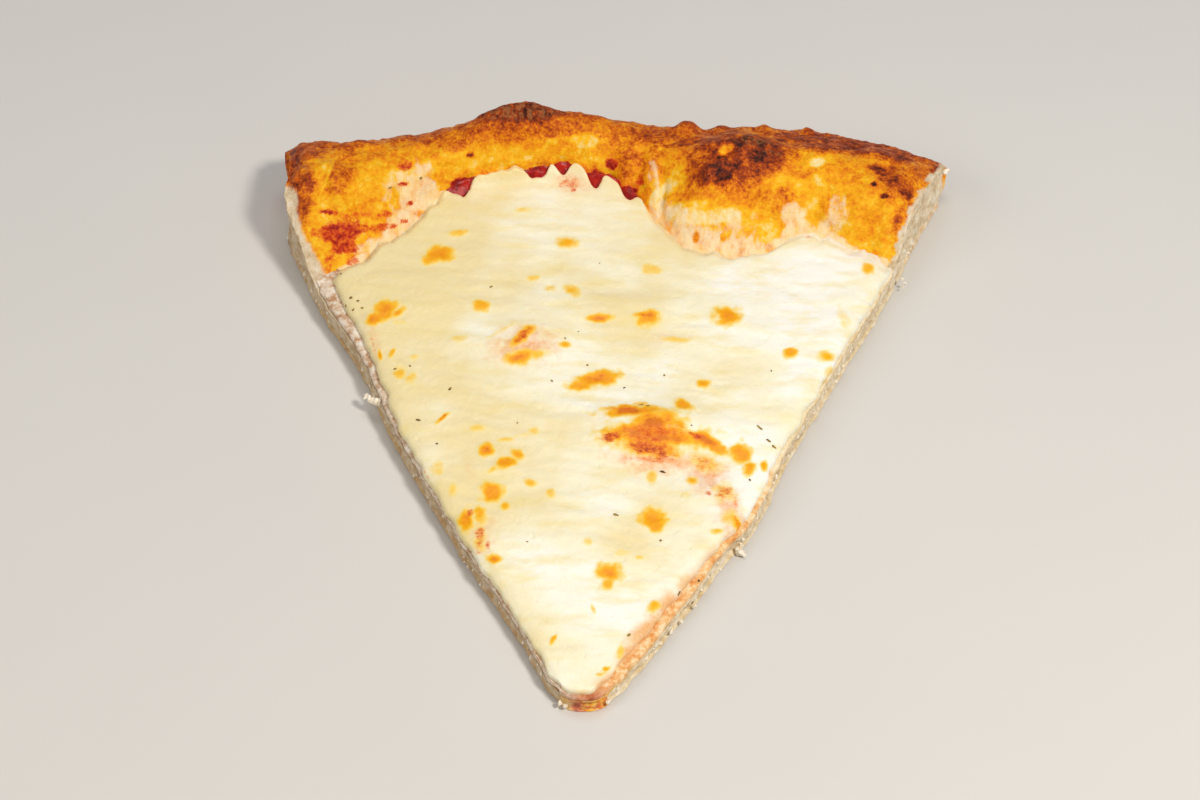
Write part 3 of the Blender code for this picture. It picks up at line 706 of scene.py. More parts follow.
cheese = {
    "edgeRadius": (
        (-23.3, 184), (-18, 192), (-14.6, 199), (-12.5, 206), (-10, 209.5), (-4, 210), (0, 206.5), (2.6, 201),
        (4.6, 193), (7.2, 185), (10.5, 183.5), (13.5, 188.5), (16.2, 196.5), (19.6, 194), (23.3, 191)),
    "thickness": 2.1, "atTip": 1.3, "thinsWithin": 40.0, "edgeRound": 4.5, "edgeShare": 0.26, "length": 168.0,
    "leftInset": ((0, .6), (60, .6), (105, 1.6), (130, 3.4), (150, 5), (175, 5)),
    "rightInset": ((0, 2.6), (30, 2.4), (55, 1.2), (90, .5), (150, .5), (175, 1)),
    "stuckReach": (
        (-23.3, 1.2), (-19.5, 1.5), (-17.5, 2.5), (-15.5, 7), (-13.5, 9), (-12, 4), (-10.8, .7), (-8, .7),
        (-5, 1), (-3, 1.2), (0, .8), (2, .8), (3.6, 4), (5.5, 7.5), (8, 6.5), (11, 6.0), (13.5, 3),
        (15, 4.5), (17, 3), (19, 1.4), (23.3, 1)),
    "rimNotches": (
        (-23.3, .8), (-12.8, 1), (-11.8, .5), (-11.3, -.4), (-10.8, -1.3), (-10.5, -2.5), (-10.25, -3.6),
        (-10, -2.6), (-9.7, -1.1), (-9.2, .2), (-8.8, .7), (-8.1, .3), (-7.4, .6), (-6.8, .3), (-6.1, .7),
        (-5.5, 0), (-4.8, -.6), (-4.1, -.2), (-3.7, 1.4), (-3.2, .8), (-2.7, .2), (-2.2, 2), (-1.6, 2.6),
        (-1.1, 1.6), (-.7, -.5), (-.3, -.9), (.2, 1.6), (.9, 2.4), (1.4, 1.7), (1.8, -.6), (2.2, -.7),
        (2.7, .8), (3.1, 1.3), (3.6, 1.2), (5, 1), (23.3, .8)),
    "sauceShows": (-12.4, 4), "tipInset": 1.2, "raggedSize": 8.0, "raggedReach": 1.7, "sideRagged": 0.9,
    "rimRound": 7.0, "rimShare": 0.08, "bedded": 0.6, "sinkReach": 6.5, "thinnest": 0.15,
    # name: place from the pizza's centre along X and Y, half widths along X and Y, height
    "lumps": {
        "largeBlister": (14, 114, 15, 8, 2.6), "middleBlister": (-19, 145, 12, 7, 1.8),
        "longSwell": (-1, 157, 34, 6, .9), "leftSwell": (-47, 161, 13, 12, .8),
        "rightSwell": (43, 148, 24, 9, .8), "lowerSwell": (-9, 76, 16, 12, .7),
        "dipByBlister": (17, 98, 12, 5, -.8),
    },
    "strandSize": (17.0, 4.6, 9.0), "strandHeight": 0.25, "foldSize": (8.0, 4.0, 6.0), "foldHeight": 0.05,
    "grainSize": 1.9, "grainHeight": 0.07, "pinholeSize": 5.0, "pinholeDepth": 0.4,
    "columns": 250, "rows": 300, "coarseColumns": 25, "coarseRows": 30, "wallRows": 4,
    "flatShare": 0.83, "underTo": 0.825,
}

# The cheese's browned spots, red oil and pink stains, in the photograph's pixels:
# across, down, half width, half height, tilt, strength
goldSpots = {
    "upperLeft": (439, 254, 15, 9, 4, .88), "upperLeftTail": (429, 260, 9, 5, 10, .7),
    "farLeft": (385, 311, 15, 10, 25, .9), "farLeftLow": (374, 318, 9, 7, 45, .9),
    "farLeftFinger": (399, 312, 9, 4, 30, .85), "edgeA": (380, 355, 2.4, 6, 10, .8),
    "edgeB": (392, 353, 3, 6, -35, .7), "edgeC": (414, 357, 5, 3.5, 0, .4),
    "right": (727, 316, 16, 10, 0, .85), "rightTail": (722, 322, 12, 5, 0, .7),
    "middleTop": (648, 319, 14, 8, 0, .80), "middleTopEdge": (646, 315, 13, 4, 0, .98),
    "long": (598, 379, 26, 8, 9, .92), "longLow": (583, 385, 14, 6, 8, .8),
    "flat": (599, 318, 14, 4.5, 0, .92), "upperMiddle": (567, 243, 12, 6, 0, .68),
    "smallRight": (791, 353, 8, 6, 0, .80), "small": (704, 384, 8, 5.5, -12, .82),
    "byBlister": (684, 405, 11, 5.5, -16, .80), "rightEdge": (741, 454, 11, 9, -28, .86),
    "rightEdgeLow": (750, 469, 7, 8, 0, .78), "rightEdgeSmall": (764, 466, 4, 6, 0, .70),
    "lower": (652, 517, 14, 10, 0, .84), "lowerTail": (655, 526, 9, 7, -30, .78),
    "lowest": (610, 572, 15, 9, 0, .86), "lowestTail": (608, 584, 7, 7, 0, .66),
    "lowestLeft": (600, 572, 8, 4, 0, .6), "left": (492, 492, 12, 11, 0, .86),
    "leftBeside": (505, 506, 5, 5, 0, .66), "leftRound": (486, 450.5, 8, 7, 0, .92),
    "leftPairA": (506, 463, 10, 6, 18, .84), "leftPairB": (517, 454, 8, 5, -14, .80),
    "leftPairTail": (493, 470, 8, 3, 22, .5), "streakAbove": (506, 440, 9, 2.6, 3, .5),
    "streakFaint": (524, 435, 12, 2.4, 8, .28), "paleStreak": (479, 428, 9, 3.5, 4, .45),
    "palePatch": (534, 431, 6.5, 4.5, 0, .42), "smallGoldA": (530, 483, 7.5, 4.5, -8, .62),
    "smallGoldB": (551, 493, 6, 5, 0, .52), "upperRow": (482, 306, 10, 6, 0, .68),
    "upperSmall": (457, 233, 11, 4, 6, .55), "paleLeft": (400, 373, 8, 7, 0, .55),
    "paleLeftLow": (411, 378, 7, 6, 30, .45), "curvedA": (572, 291, 9, 6, -24, .62),
    "curvedB": (549, 288, 7, 4, 0, .5), "curvedC": (534, 278, 6.5, 3, 0, .45),
    "rightCorner": (867, 269, 7, 6, 0, .70), "paleTop": (650, 270, 14, 6, -6, .45),
    "paleTopLeft": (523, 210, 9, 3.5, 0, .38), "rightPair": (826, 357, 10, 6, 0, .60),
    "rightPairLow": (830, 371, 7, 6, 20, .45), "rightArc": (843, 318, 6, 15, 22, .30),
    "paleMiddle": (459, 339, 9, 4.5, 0, .35), "smallOrange": (566, 345, 7, 4, 0, .80),
    "speckledLine": (676, 340, 18, 3.5, -6, .42), "paleLower": (588, 542, 5, 4.5, 0, .40),
    "paleLowerB": (623, 553, 9, 3.5, 0, .30), "paleLowerC": (640, 558, 5, 2.4, 0, .42),
    "dashLow": (593.5, 610, 2.4, 6, 22, .50), "tipYellowA": (606, 669, 4, 2.4, 18, .70),
    "tipYellowB": (600, 674, 5, 2.2, 0, .62), "leftStreak": (443, 418, 10, 2.4, 40, .9),
    "leftEdgeGold": (437, 469, 8, 10, 0, .35), "leftEdgeGoldB": (453, 490, 6, 8, 0, .38),
    "leftBlotch": (466, 521, 9, 12, 0, .86), "leftBlotchYellow": (480, 516, 8, 9, 0, .66),
    "leftBlotchLow": (494, 559, 8, 6, 0, .90), "rightOrange": (742, 440, 3, 3, 0, .3),
    "underBlister": (652, 478, 6, 8, 0, .55), "goldUnder": (692, 481, 8, 4.5, 0, .66),
    "greenish": (686, 495, 6, 4, 0, .28), "rightLowRing": (739, 526, 3.5, 11, 22, .85),
    "rightLowRingLeft": (718, 531, 7, 3.5, 0, .62), "rightLowFill": (728, 517, 8, 8, 0, .45),
    "stripYellow": (654, 606, 8, 6, 30, .62), "stripGold": (620, 652, 4, 9, -8, .45),
    "tipStreak": (553, 640, 7, 2.4, 58, .7), "blisterCore": (655, 422, 30, 11, 4, 1.0),
    "blisterBody": (654, 436, 54, 15, -2, .96), "blisterFoot": (648, 447, 40, 10, -4, .74),
    "trailGold": (705, 462, 17, 10, -30, .38), "stripesGold": (726, 492, 14, 10, -20, .42),
    "archGold": (735, 520, 5, 13, 24, .60), "leftStain": (480, 541, 9, 11, 0, .42),
    "blisterArc": (631, 411, 32, 6, 3, 1.0), "blisterArm": (704, 441, 24, 8, -27, 1.0),
    "middleCore": (519, 358, 15, 8, 12, .88), "middleCoreRight": (538, 354, 12, 4, 10, .55),
    "middleLine": (500, 331, 21, 2.2, 28, .36), "middleArc": (522, 336, 14, 6, 38, .80),
    "besideTop": (640, 404, 9, 3, 0, .6), "ringTop": (398, 322, 9, 3, 0, .3),
}
redSpots = {
    "blisterLeft": (610, 438, 15, 6, 10, .85), "blisterFringe": (650, 448, 38, 9, -8, .84),
    "blisterRight": (694, 436, 18, 6, -24, .72), "fringeSpotA": (639, 452, 8, 4, -10, .95),
    "fringeSpotB": (663, 455, 9, 3.5, -30, 1.0), "fringeSpotC": (654, 440, 10, 4, 0, .8),
    "blisterDark": (640, 438, 26, 7, 0, .58), "blisterMiddle": (658, 430, 42, 12, 2, .60),
    "blisterTop": (624, 410, 24, 4, 3, .60), "blisterTail": (714, 448, 12, 4, -28, .5),
    "trail": (703, 464, 16, 11, -25, .50), "fringeLow": (652, 460, 32, 7, 0, .58),
    "trailLine": (709, 485, 6, 2, -35, .7), "trailSpot": (709, 494, 4.5, 3, -20, .75),
    "stripes": (725, 492, 14, 9, 0, .60), "stripesTail": (736, 502, 4, 9, 0, .5),
    "archLine": (736, 520, 4, 13, 24, .6), "middleRed": (522, 336, 14, 6, 38, .72),
    "middleRedLow": (517, 358, 14, 6, 12, .50), "leftStreakRed": (443, 418, 9, 2, 40, .6),
    "leftDot": (470.5, 513, 4.5, 5.5, 0, .80), "leftBrown": (480, 538, 9, 10, 0, .72),
    "leftBrownB": (488, 544, 4, 6, 0, .8), "leftPinkBrown": (477, 551, 7, 7, 0, .42),
    "leftLow": (488, 580, 3, 4.5, 0, .8), "leftDash": (508, 603, 2.2, 5, 20, .5),
    "tipRed": (566, 699, 12, 4, 0, .75), "tipOrange": (588, 698, 13, 6, 0, .50),
    "stripRed": (652, 616, 6, 4, 35, .50), "stripRedB": (674, 606, 6, 5, 0, .45),
    "edgeLineA": (373, 345, 2.6, 20, 12, .45), "edgeLineB": (426, 474, 2.6, 17, 26, .45),
    "edgeLineC": (400, 436, 2.4, 18, 22, .35), "orangeOnCheese": (569, 183, 14, 10, 0, .62),
    "dotOnCheese": (573, 190, 4, 3, 0, .9), "sauceC": (597, 180, 7, 6, 0, .7),
    "cornerRed": (404, 222, 4, 2, 0, .8), "topDot": (808, 237, 5, 2, 0, .6),
}
pinkSpots = {
    "underBlister": (656, 459, 58, 18, -5, .92), "trailAround": (706, 474, 26, 24, -20, .86),
    "rightEdge": (730, 514, 18, 38, 0, .84), "middleAround": (523, 346, 44, 25, 4, .86),
    "middleRight": (668, 338, 26, 8, 0, .40), "leftEdge": (484, 535, 18, 26, -18, .50),
    "upperLeft": (410, 205, 26, 20, 0, .55), "topRight": (715, 240, 55, 8, 0, .35),
    "leftBand": (372, 335, 10, 40, 14, .45), "blisterLeft": (600, 425, 18, 20, 0, .35),
    "lowLeft": (470, 470, 12, 14, 0, .30), "nearTop": (574, 184, 24, 12, 0, .75),
}
peachStrip = {
    "top": (690, 585, 12, 24, -42, .75), "upper": (668, 606, 14, 20, -42, .9),
    "middle": (645, 632, 13, 22, -42, .95), "low": (628, 655, 11, 20, -38, .9),
    "lower": (606, 685, 13, 14, -40, .95), "tip": (582, 697, 26, 7, 3, .85),
    "edgeHigh": (708, 560, 8, 22, -38, .45), "leftTip": (556, 692, 10, 6, 0, .8),
}


def cheesePlan(a, b):
    def raggedEdge(degrees):
        around = stacked(np.radians(degrees) * cutPizza["radius"], 0.0, 0.0)
        ragged = cheese["raggedReach"] * (layered(around, cheese["raggedSize"], 81, 2) - 0.1)
        fringe = 0.5 * noise(around, 2.4, 84)
        return between(cheese["rimNotches"], degrees) + ragged * (1 - 0.7 * overSauce(degrees)) + fringe
    return layerPlan(cheese, a, b, raggedEdge, 1.0, cheese["sideRagged"])


def cheeseBottom(a, b):
    x, y = cheesePlan(a, b)
    lift = (sauce["gap"] * 2 + sauce["thickness"]) * lean(x, y)
    lift = lift * (1 - sinking(x, y, fromRimEdge(cheesePlan, a, b))) - cheese["bedded"]
    return stacked(x, y, breadTop(x, y) + lift)


def overSauce(degrees):  # 1 where sauce shows along the rim, 0 elsewhere
    first, last = cheese["sauceShows"]
    return ease(degrees - first) * ease(last - degrees)


def sinking(x, y, fromRim):
    # how far the cheese's edge on the rim sinks into the skin, less where it lies on the sauce
    onSauce = overSauce(polar(x, y)[1])
    return (1.12 - 0.50 * onSauce) * (1 - ease(fromRim / (cheese["sinkReach"] * (1 - 0.7 * onSauce))))


def cheeseRelief(points, x, y):
    # melted strands lying mostly left to right, folds across them, a fine grain and pinholes
    warp = 2.2 * noise(points, 11.0, 91)
    bent = stacked(x + 0.5 * warp, y + warp + 0.16 * x, points[..., 2])
    strands = cheese["strandHeight"] * layered(bent, cheese["strandSize"], 92, 2)
    folds = cheese["foldHeight"] * (1 - np.abs(noise(bent, cheese["foldSize"], 95)) * 3)
    grain = cheese["grainHeight"] * layered(points, cheese["grainSize"], 96, 2)
    holes = ease(dots(points, cheese["pinholeSize"], 97, 0.16))
    return strands + folds + grain - cheese["pinholeDepth"] * holes


def paintCheese(points):
    # the marks, and a warmer, darker tone on the left and far from the tip and a paler one on the lower
    # right, which is painted shade and painted light, over random warm patches
    across, down = photoPlace(points)
    wobble = wobbleOf(points, 101)
    paint = {"gold": strongest((across, down), goldSpots, wobble, core=0.2, wider=1.18, smallUpTo=6)}
    for name, spots in (("red", redSpots), ("pink", pinkSpots), ("peach", peachStrip)):
        paint[name] = strongest((across, down), spots, wobble, core=0.2, smallUpTo=6)
    # painted shade and light: the tone darkens to the left and away from the tip and pales to the lower right
    side = (across - 640) / 260 + (down - 420) / 900
    paint["warmTintAndPaintedShade"] = np.clip(0.40 - 0.55 * side + 0.45 * layered(points, 24.0, 103, 2), 0, 1)
    return paint


def makeCheese(material):
    a = np.linspace(-1, 1, cheese["columns"] + 1)[:, None]
    b = np.linspace(0, 1, cheese["rows"] + 1)[None, :]
    low = cheeseBottom(a, b)
    x, y = low[..., 0], low[..., 1]
    fromTip = behindTip(y)
    thick = cheese["atTip"] + (cheese["thickness"] - cheese["atTip"]) * ease(fromTip / cheese["thinsWithin"])
    slant = math.tan(math.radians(cutPizza["halfAngle"]))
    halfWidth = np.maximum(1.0, fromTip + cutPizza["tipFromCentre"]) * slant
    rimDistance = fromRimEdge(cheesePlan, a, b)
    inside = np.minimum((1 - np.abs(a)) * halfWidth, np.minimum(rimDistance, b * cheese["length"]))
    rounding = np.sqrt(1 - (1 - np.minimum(1, inside / cheese["edgeRound"])) ** 2)
    onSauce = overSauce(polar(x, y)[1])
    fromRim = np.minimum(1, rimDistance / (cheese["rimRound"] * (1 - 0.6 * onSauce)))
    rimRounding = (1 - (1 - fromRim) ** 2) ** (1.1 - 0.55 * onSauce)
    share = (cheese["edgeShare"] + (1 - cheese["edgeShare"]) * rounding) * (
        cheese["rimShare"] + (1 - cheese["rimShare"]) * rimRounding)
    lumps = 0.0
    for middleX, middleY, wide, deep, height in cheese["lumps"].values():
        right = (x - cutPizza["centre"][0] - middleX) / wide
        behind = (y - cutPizza["centre"][1] - middleY) / deep
        lumps = lumps + height * np.exp(-(right ** 2 + behind ** 2))
    bedding = (cheese["bedded"] - cheese["thinnest"]) * np.clip(1 - sinking(x, y, rimDistance), 0, 1)
    body = stacked(x, y, low[..., 2] + bedding + thick * share + lumps * ease(inside / cheese["edgeRound"]))
    paint = paintCheese(body)
    puff = 0.30 * paint["gold"] - 0.18 * ease((paint["gold"] - 0.6) / 0.3)
    speckle = 0.28 * np.maximum(paint["red"], 0.6 * paint["pink"]) * noise(body, 1.5, 98)
    lift = (cheeseRelief(body, x, y) + puff + speckle) * (0.35 + 0.65 * ease(inside / 2.5))
    top = stacked(x, y, np.maximum(body[..., 2] + lift, low[..., 2] + cheese["thinnest"]))
    rimNoise = 0.6 * noise(body, 3.0, 104) + 0.3 * noise(body, 1.2, 105)
    paint["edge"] = 1 - ease(rimDistance / 3.0 + rimNoise * 0.6)
    mesh = weldedMesh("mozzarella", sheetPatches(cheese, top, cheeseBottom, paint), 60)
    return placed("mozzarella", mesh, material, "mozzarella")


# Materials

def colour(code):
    # an sRGB hex value as linear red, green, blue and alpha
    values = [int(code[i:i + 2], 16) / 255 for i in (0, 2, 4)]
    return [v / 12.92 if v <= 0.04045 else ((v + 0.055) / 1.055) ** 2.4 for v in values] + [1.0]


def fill(tree, node, inputs):
    # a value is written to the node's input, and another node's output is linked to it
    for name, value in inputs.items():
        if isinstance(value, bpy.types.NodeSocket):
            tree.links.new(value, node.inputs[name])
        else:
            node.inputs[name].default_value = value


def add(tree, kind, inputs, stops=(), out=0, **settings):
    # adds a node with its settings and gives back one output; stops fill a ramp with colours or grey levels
    made = tree.nodes.new("ShaderNode" + kind)
    for name, value in settings.items():
        setattr(made, name, value)
    fill(tree, made, inputs)
    for i, (place, value) in enumerate(stops):
        element = made.color_ramp.elements[i] if i < 2 else made.color_ramp.elements.new(place)
        element.position = place
        element.color = colour(value) if isinstance(value, str) else (value, value, value, 1)
    return made.outputs[out]


def perMetre(millimetres):  # the scale of a pattern whose feature has this size
    return 1.0 / (millimetres * toMetres)


def newMaterial(name, grains, paints=()):
    # a material with its grains, noise on Object coordinates, and the paints that its mesh carries
    # a grain is its feature's size in millimetres, detail, roughness and, if drawn out, its scale each way
    material = bpy.data.materials.new(name)
    material.use_nodes = True
    tree = material.node_tree
    place = add(tree, "TexCoord", {}, out="Object")
    grain = {}
    for grainName, (size, detail, roughness, *drawn) in grains.items():
        where = add(tree, "Mapping", {"Vector": place, "Scale": drawn[0]}) if drawn else place
        settings = {"Vector": where, "Scale": perMetre(size), "Detail": detail, "Roughness": roughness}
        grain[grainName] = add(tree, "TexNoise", settings)
    paint = {each: add(tree, "Attribute", {}, out="Fac", attribute_name=each) for each in paints}
    return material, tree, grain, paint


def shiftedBy(tree, amount, grain, reach):
    # the amount moved up and down by a grain round its middle value
    swing = add(tree, "Math", {0: add(tree, "Math", {0: grain, 1: -0.5}), 1: reach}, operation="MULTIPLY")
    return add(tree, "Math", {0: amount, 1: swing})


def laidOver(tree, base, share, tone, amount=None, whereFull=None):
    # lays a finish over the base; its share and its tone may be stops for a ramp of the amount, and whereFull
    # is a paint and the value below which the share fades out with it
    if isinstance(share, list):
        share = add(tree, "ValToRGB", {"Fac": amount}, share)
    if whereFull:
        fade = add(tree, "ValToRGB", {"Fac": whereFull[0]}, [(0.04, 0.0), (whereFull[1], 1.0)])
        share = add(tree, "Math", {0: share, 1: fade}, operation="MULTIPLY")
    if isinstance(tone, list):
        tone = add(tree, "ValToRGB", {"Fac": amount}, tone)
    tone = colour(tone) if isinstance(tone, str) else tone
    return add(tree, "Mix", {0: share, 6: base, 7: tone}, out=2, data_type="RGBA")


def mozzarellaMaterial():
    # melted low-moisture mozzarella: smooth, pale, a little translucent, and oily, which gives a soft shine
    material, tree, grain, paint = newMaterial("meltedMozzarella", {
        "broad": (16, 3, 0.6), "streaks": (5, 4, 0.6, (0.35, 1.0, 1.0)), "fine": (0.9, 3, 0.6),
        "stain": (2.2, 5, 0.7), "speckle": (1.8, 3, 0.6), "red": (1.1, 6, 0.8, (0.6, 1.0, 1.0)),
        "shine": (3.5, 3, 0.5), "relief": (1.1, 4, 0.6),
    }, ("gold", "red", "pink", "peach", "warmTintAndPaintedShade", "edge"))
    # painted shade and light: this paint makes the cheese darker and yellower on the left and near white on
    # the lower right
    warmTintAndPaintedShade = shiftedBy(tree, paint["warmTintAndPaintedShade"], grain["broad"], 1.1)
    base = add(tree, "ValToRGB", {"Fac": warmTintAndPaintedShade}, [(0.10, "FEFCF0"), (0.45, "F9F2D4"), (0.90, "F1E0AC")])
    base = laidOver(tree, base, [(0.48, 0.0), (0.68, 0.60)], "F3E09C", grain["streaks"])
    edgeShare = add(tree, "Math", {0: paint["edge"], 1: 0.55}, operation="MULTIPLY")
    base = laidOver(tree, base, edgeShare, "F9D69A")
    stain = shiftedBy(tree, paint["pink"], grain["stain"], 2.4)
    pinkShare = add(tree, "Math", {0: stain, 1: paint["pink"]}, operation="MULTIPLY", use_clamp=True)
    base = laidOver(tree, base, pinkShare, "F1AC70")
    peachGrain = shiftedBy(tree, 1.0, grain["fine"], 0.9)
    peachShare = add(tree, "Math", {0: paint["peach"], 1: peachGrain}, operation="MULTIPLY", use_clamp=True)
    base = laidOver(tree, base, peachShare, "EDB679")
    goldFade = add(tree, "ValToRGB", {"Fac": paint["gold"]}, [(0.02, 0.0), (0.14, 1.0)])
    gold = shiftedBy(tree, paint["gold"], grain["speckle"], 0.40)
    gold = add(tree, "Math", {0: gold, 1: goldFade}, operation="MULTIPLY")
    base = laidOver(tree, base, [(0.08, 0.0), (0.36, 0.65), (0.62, 1.0)], [
        (0.20, "FDDF70"), (0.42, "FCCA10"), (0.66, "FAB400"), (0.88, "F49A00"), (1.0, "DA7400")], gold)
    red = shiftedBy(tree, paint["red"], grain["red"], 2.2)
    base = laidOver(tree, base, [(0.35, 0.0), (0.62, 0.6), (0.95, 0.95)], [
        (0.35, "F29A38"), (0.58, "E87012"), (0.82, "D44A06"), (1.0, "A83206")], red, (paint["red"], 0.22))
    shine = add(tree, "ValToRGB", {"Fac": grain["shine"]}, [(0.3, 0.30), (0.7, 0.46)])
    fill(tree, tree.nodes["Principled BSDF"], {
        "Base Color": base, "Roughness": shine,
        "Normal": add(tree, "Bump", {"Strength": 0.35, "Distance": 0.0005, "Height": grain["relief"]}),
        "Specular IOR Level": 0.36, "Subsurface Weight": 0.20, "Subsurface Radius": (1.0, 0.75, 0.45),
        "Subsurface Scale": 0.0016,
    })
    return material


def breadMaterial():
    # yeast bread baked hot: a thin glazed skin, gold to dark brown where it blistered, over open white crumb
    material, tree, grain, paint = newMaterial("bakedBread", {
        "fine": (0.8, 4, 0.65), "middle": (3.0, 4, 0.6), "tan": (1.4, 5, 0.75),
        "drawn": (2.4, 4, 0.65, (1.0, 0.4, 0.5)), "red": (1.8, 5, 0.75), "crumb": (2.2, 5, 0.7),
        "base": (9.0, 6, 0.7), "grit": (0.45, 3, 0.6),
    }, ("bake", "red", "tan", "crumb", "poreShadeAndTone", "base", "white"))
    place = add(tree, "TexCoord", {}, out="Object")
    flecks = add(tree, "TexVoronoi", {"Vector": place, "Scale": perMetre(1.7)})
    rough = add(tree, "ValToRGB", {"Fac": paint["bake"]}, [
        (0.12, 0.10), (0.34, 0.34), (0.56, 0.80), (0.72, 0.75), (1.0, 0.5)])
    bake = shiftedBy(tree, shiftedBy(tree, paint["bake"], grain["fine"], rough), grain["middle"], 0.60)
    skin = add(tree, "ValToRGB", {"Fac": shiftedBy(tree, bake, flecks, -0.14)}, [
        (0.0, "FDF0CC"), (0.15, "FBDD8E"), (0.28, "FCC216"), (0.42, "F6A400"), (0.54, "E98500"),
        (0.65, "CC6000"), (0.76, "A23C02"), (0.87, "6A2206"), (1.0, "1C0705")])
    tanGrain = add(tree, "ValToRGB", {"Fac": grain["tan"]}, [(0.47, 0.0), (0.56, 1.0)])
    tanShare = add(tree, "Math", {0: paint["tan"], 1: tanGrain}, operation="MULTIPLY", use_clamp=True)
    skin = laidOver(tree, skin, tanShare, "AC7040")
    white = shiftedBy(tree, shiftedBy(tree, paint["white"], grain["drawn"], 2.0), grain["fine"], 0.8)
    whiteShare = [(0.32, 0.0), (0.62, 0.5), (1.0, 0.9)]
    skin = laidOver(tree, skin, whiteShare, "FBE6BC", white, (paint["white"], 0.2))
    red = shiftedBy(tree, paint["red"], grain["red"], 2.0)
    skin = laidOver(tree, skin, [(0.30, 0.0), (0.55, 0.75), (0.80, 1.0)], [
        (0.30, "F28A1C"), (0.55, "E6620C"), (0.80, "CC3806"), (1.0, "901206")], red, (paint["red"], 0.25))

    crumb = add(tree, "ValToRGB", {"Fac": grain["crumb"]}, [
        (0.32, "CBB28A"), (0.50, "ECDABA"), (0.68, "FAF2E0")])
    # painted shade: the crumb darkened in its pores and over the whole left cut face
    poreShadeShare = add(tree, "Math", {0: paint["poreShadeAndTone"], 1: 0.75}, operation="MULTIPLY")
    crumb = laidOver(tree, crumb, poreShadeShare, "B4946C")
    surface = laidOver(tree, skin, paint["crumb"], crumb)
    surface = laidOver(tree, surface, paint["base"], [
        (0.30, "F0D9A8"), (0.48, "D9A55C"), (0.62, "B0702C"), (0.78, "6E3A14")], grain["base"])

    skinShine = add(tree, "ValToRGB", {"Fac": grain["middle"]}, [(0.36, 0.32), (0.62, 0.58)])
    matt = add(tree, "Math", {0: paint["crumb"], 1: paint["tan"]})
    matt = add(tree, "Math", {0: matt, 1: paint["base"]}, use_clamp=True)
    halfFine = add(tree, "Math", {0: grain["fine"], 1: 0.5}, operation="MULTIPLY")
    heights = add(tree, "Math", {0: halfFine, 1: grain["grit"]})
    fill(tree, tree.nodes["Principled BSDF"], {
        "Base Color": surface, "Roughness": laidOver(tree, skinShine, matt, (0.82, 0.82, 0.82, 1.0)),
        "Normal": add(tree, "Bump", {"Strength": 0.7, "Distance": 0.0005, "Height": heights}),
        "Specular IOR Level": 0.22,
    })
    return material


def sauceMaterial():
    # cooked tomato sauce: wet, deep red and pulpy, a pale film painted greyer brown on the left half as
    # painted shade, and a thin orange film near the tip
    material, tree, grain, paint = newMaterial(
        "cookedTomatoSauce", {"pulp": (2.2, 5, 0.7), "relief": (0.9, 4, 0.6)}, ("film", "peach", "brown"))
    pulp = grain["pulp"]
    wet = add(tree, "ValToRGB", {"Fac": pulp}, [
        (0.30, "6E0A0C"), (0.48, "A01210"), (0.62, "BC2213"), (0.80, "D6451A")])
    film = add(tree, "ValToRGB", {"Fac": pulp}, [(0.36, "EBCA94"), (0.50, "F4DEB2"), (0.62, "FAECCE")])
    film = laidOver(tree, film, paint["peach"], [(0.36, "DE8F40"), (0.50, "F1BF80"), (0.62, "FBE2B8")], pulp)
    # painted shade: a greyer brown film on the left half
    film = laidOver(tree, film, paint["brown"], [(0.36, "B88A62"), (0.50, "DCC6AC"), (0.62, "F2E8DA")], pulp)
    fill(tree, tree.nodes["Principled BSDF"], {
        "Base Color": laidOver(tree, wet, paint["film"], film), "Roughness": 0.28, "Specular IOR Level": 0.32,
        "Normal": add(tree, "Bump", {"Strength": 0.5, "Distance": 0.0004, "Height": grain["relief"]}),
    })
    return material


def plainMaterial(name, size, detail, stops, roughness):  # one tone that varies with a single grain
    material, tree, grain, _ = newMaterial(name, {"tone": (size, detail, 0.5)})
    tone = add(tree, "ValToRGB", {"Fac": grain["tone"]}, stops)
    fill(tree, tree.nodes["Principled BSDF"], {"Base Color": tone, "Roughness": roughness})
    return material


# Herbs and crumbs

herbs = {
    "length": 0.85, "width": 0.6, "thickness": 0.14, "strewn": 12,
    # across and down in the photograph's pixels, how long against the usual, and its turn
    "named": {
        "upper": (491, 287, 1.0, 20), "middle": (616, 515, 1.5, -30), "stripHigh": (692, 603, .8, 70),
        "strip": (699, 581, .7, 80), "stripBlack": (629, 635, 1.0, 60), "leftDark": (418, 420, 1.3, -10),
        "leftPatchA": (390, 188, 1.1, 30), "leftPatchB": (421, 178, 1.0, 80), "dashA": (760, 428, 1.9, -50),
        "dashB": (769, 441, 1.6, -50), "dashC": (774, 447, 1.3, -40), "blisterA": (641, 405, 1.2, 10),
        "blisterB": (648, 406, 1.0, -20), "middleDot": (437, 444, .7, 70), "lowDash": (750, 480, .6, 10),
        "stripOlive": (679, 593, 1.3, 75), "lineDark": (663, 472, 1.6, -25),
        "leftGreen": (450, 389, 1.4, 60), "leftFar": (410, 366, .7, 0), "leftFarB": (395, 369, .8, 30),
        "ringA": (346, 306, .8, 80), "ringB": (351, 298, .8, 10), "ringC": (358, 301, .9, -40),
        "ringD": (362, 308, .8, -70), "ringE": (353, 310, .9, 60), "cornerDark": (338, 270, 1.0, 0),
        "cornerSmall": (341, 274, .6, 0),
    },
}


def photoRay(across, down):
    # the photograph's eye, and the way from it through a pixel
    eye, ahead, up, focal = photoAxes()
    right = (across - photoCamera["imageWidth"] / 2) / focal
    rise = (photoCamera["imageHeight"] / 2 - down) / focal
    return Vector(eye), Vector(ahead + np.array((right, 0, 0)) + up * rise).normalized()


def surfaceOf(pieces):
    # one search tree over the pieces' meshes, in millimetres
    points, faces = [], []
    for piece in pieces:
        start = len(points)
        points += [v.co / toMetres for v in piece.data.vertices]
        faces += [[start + i for i in f.vertices] for f in piece.data.polygons]
    return BVHTree.FromPolygons(points, faces)


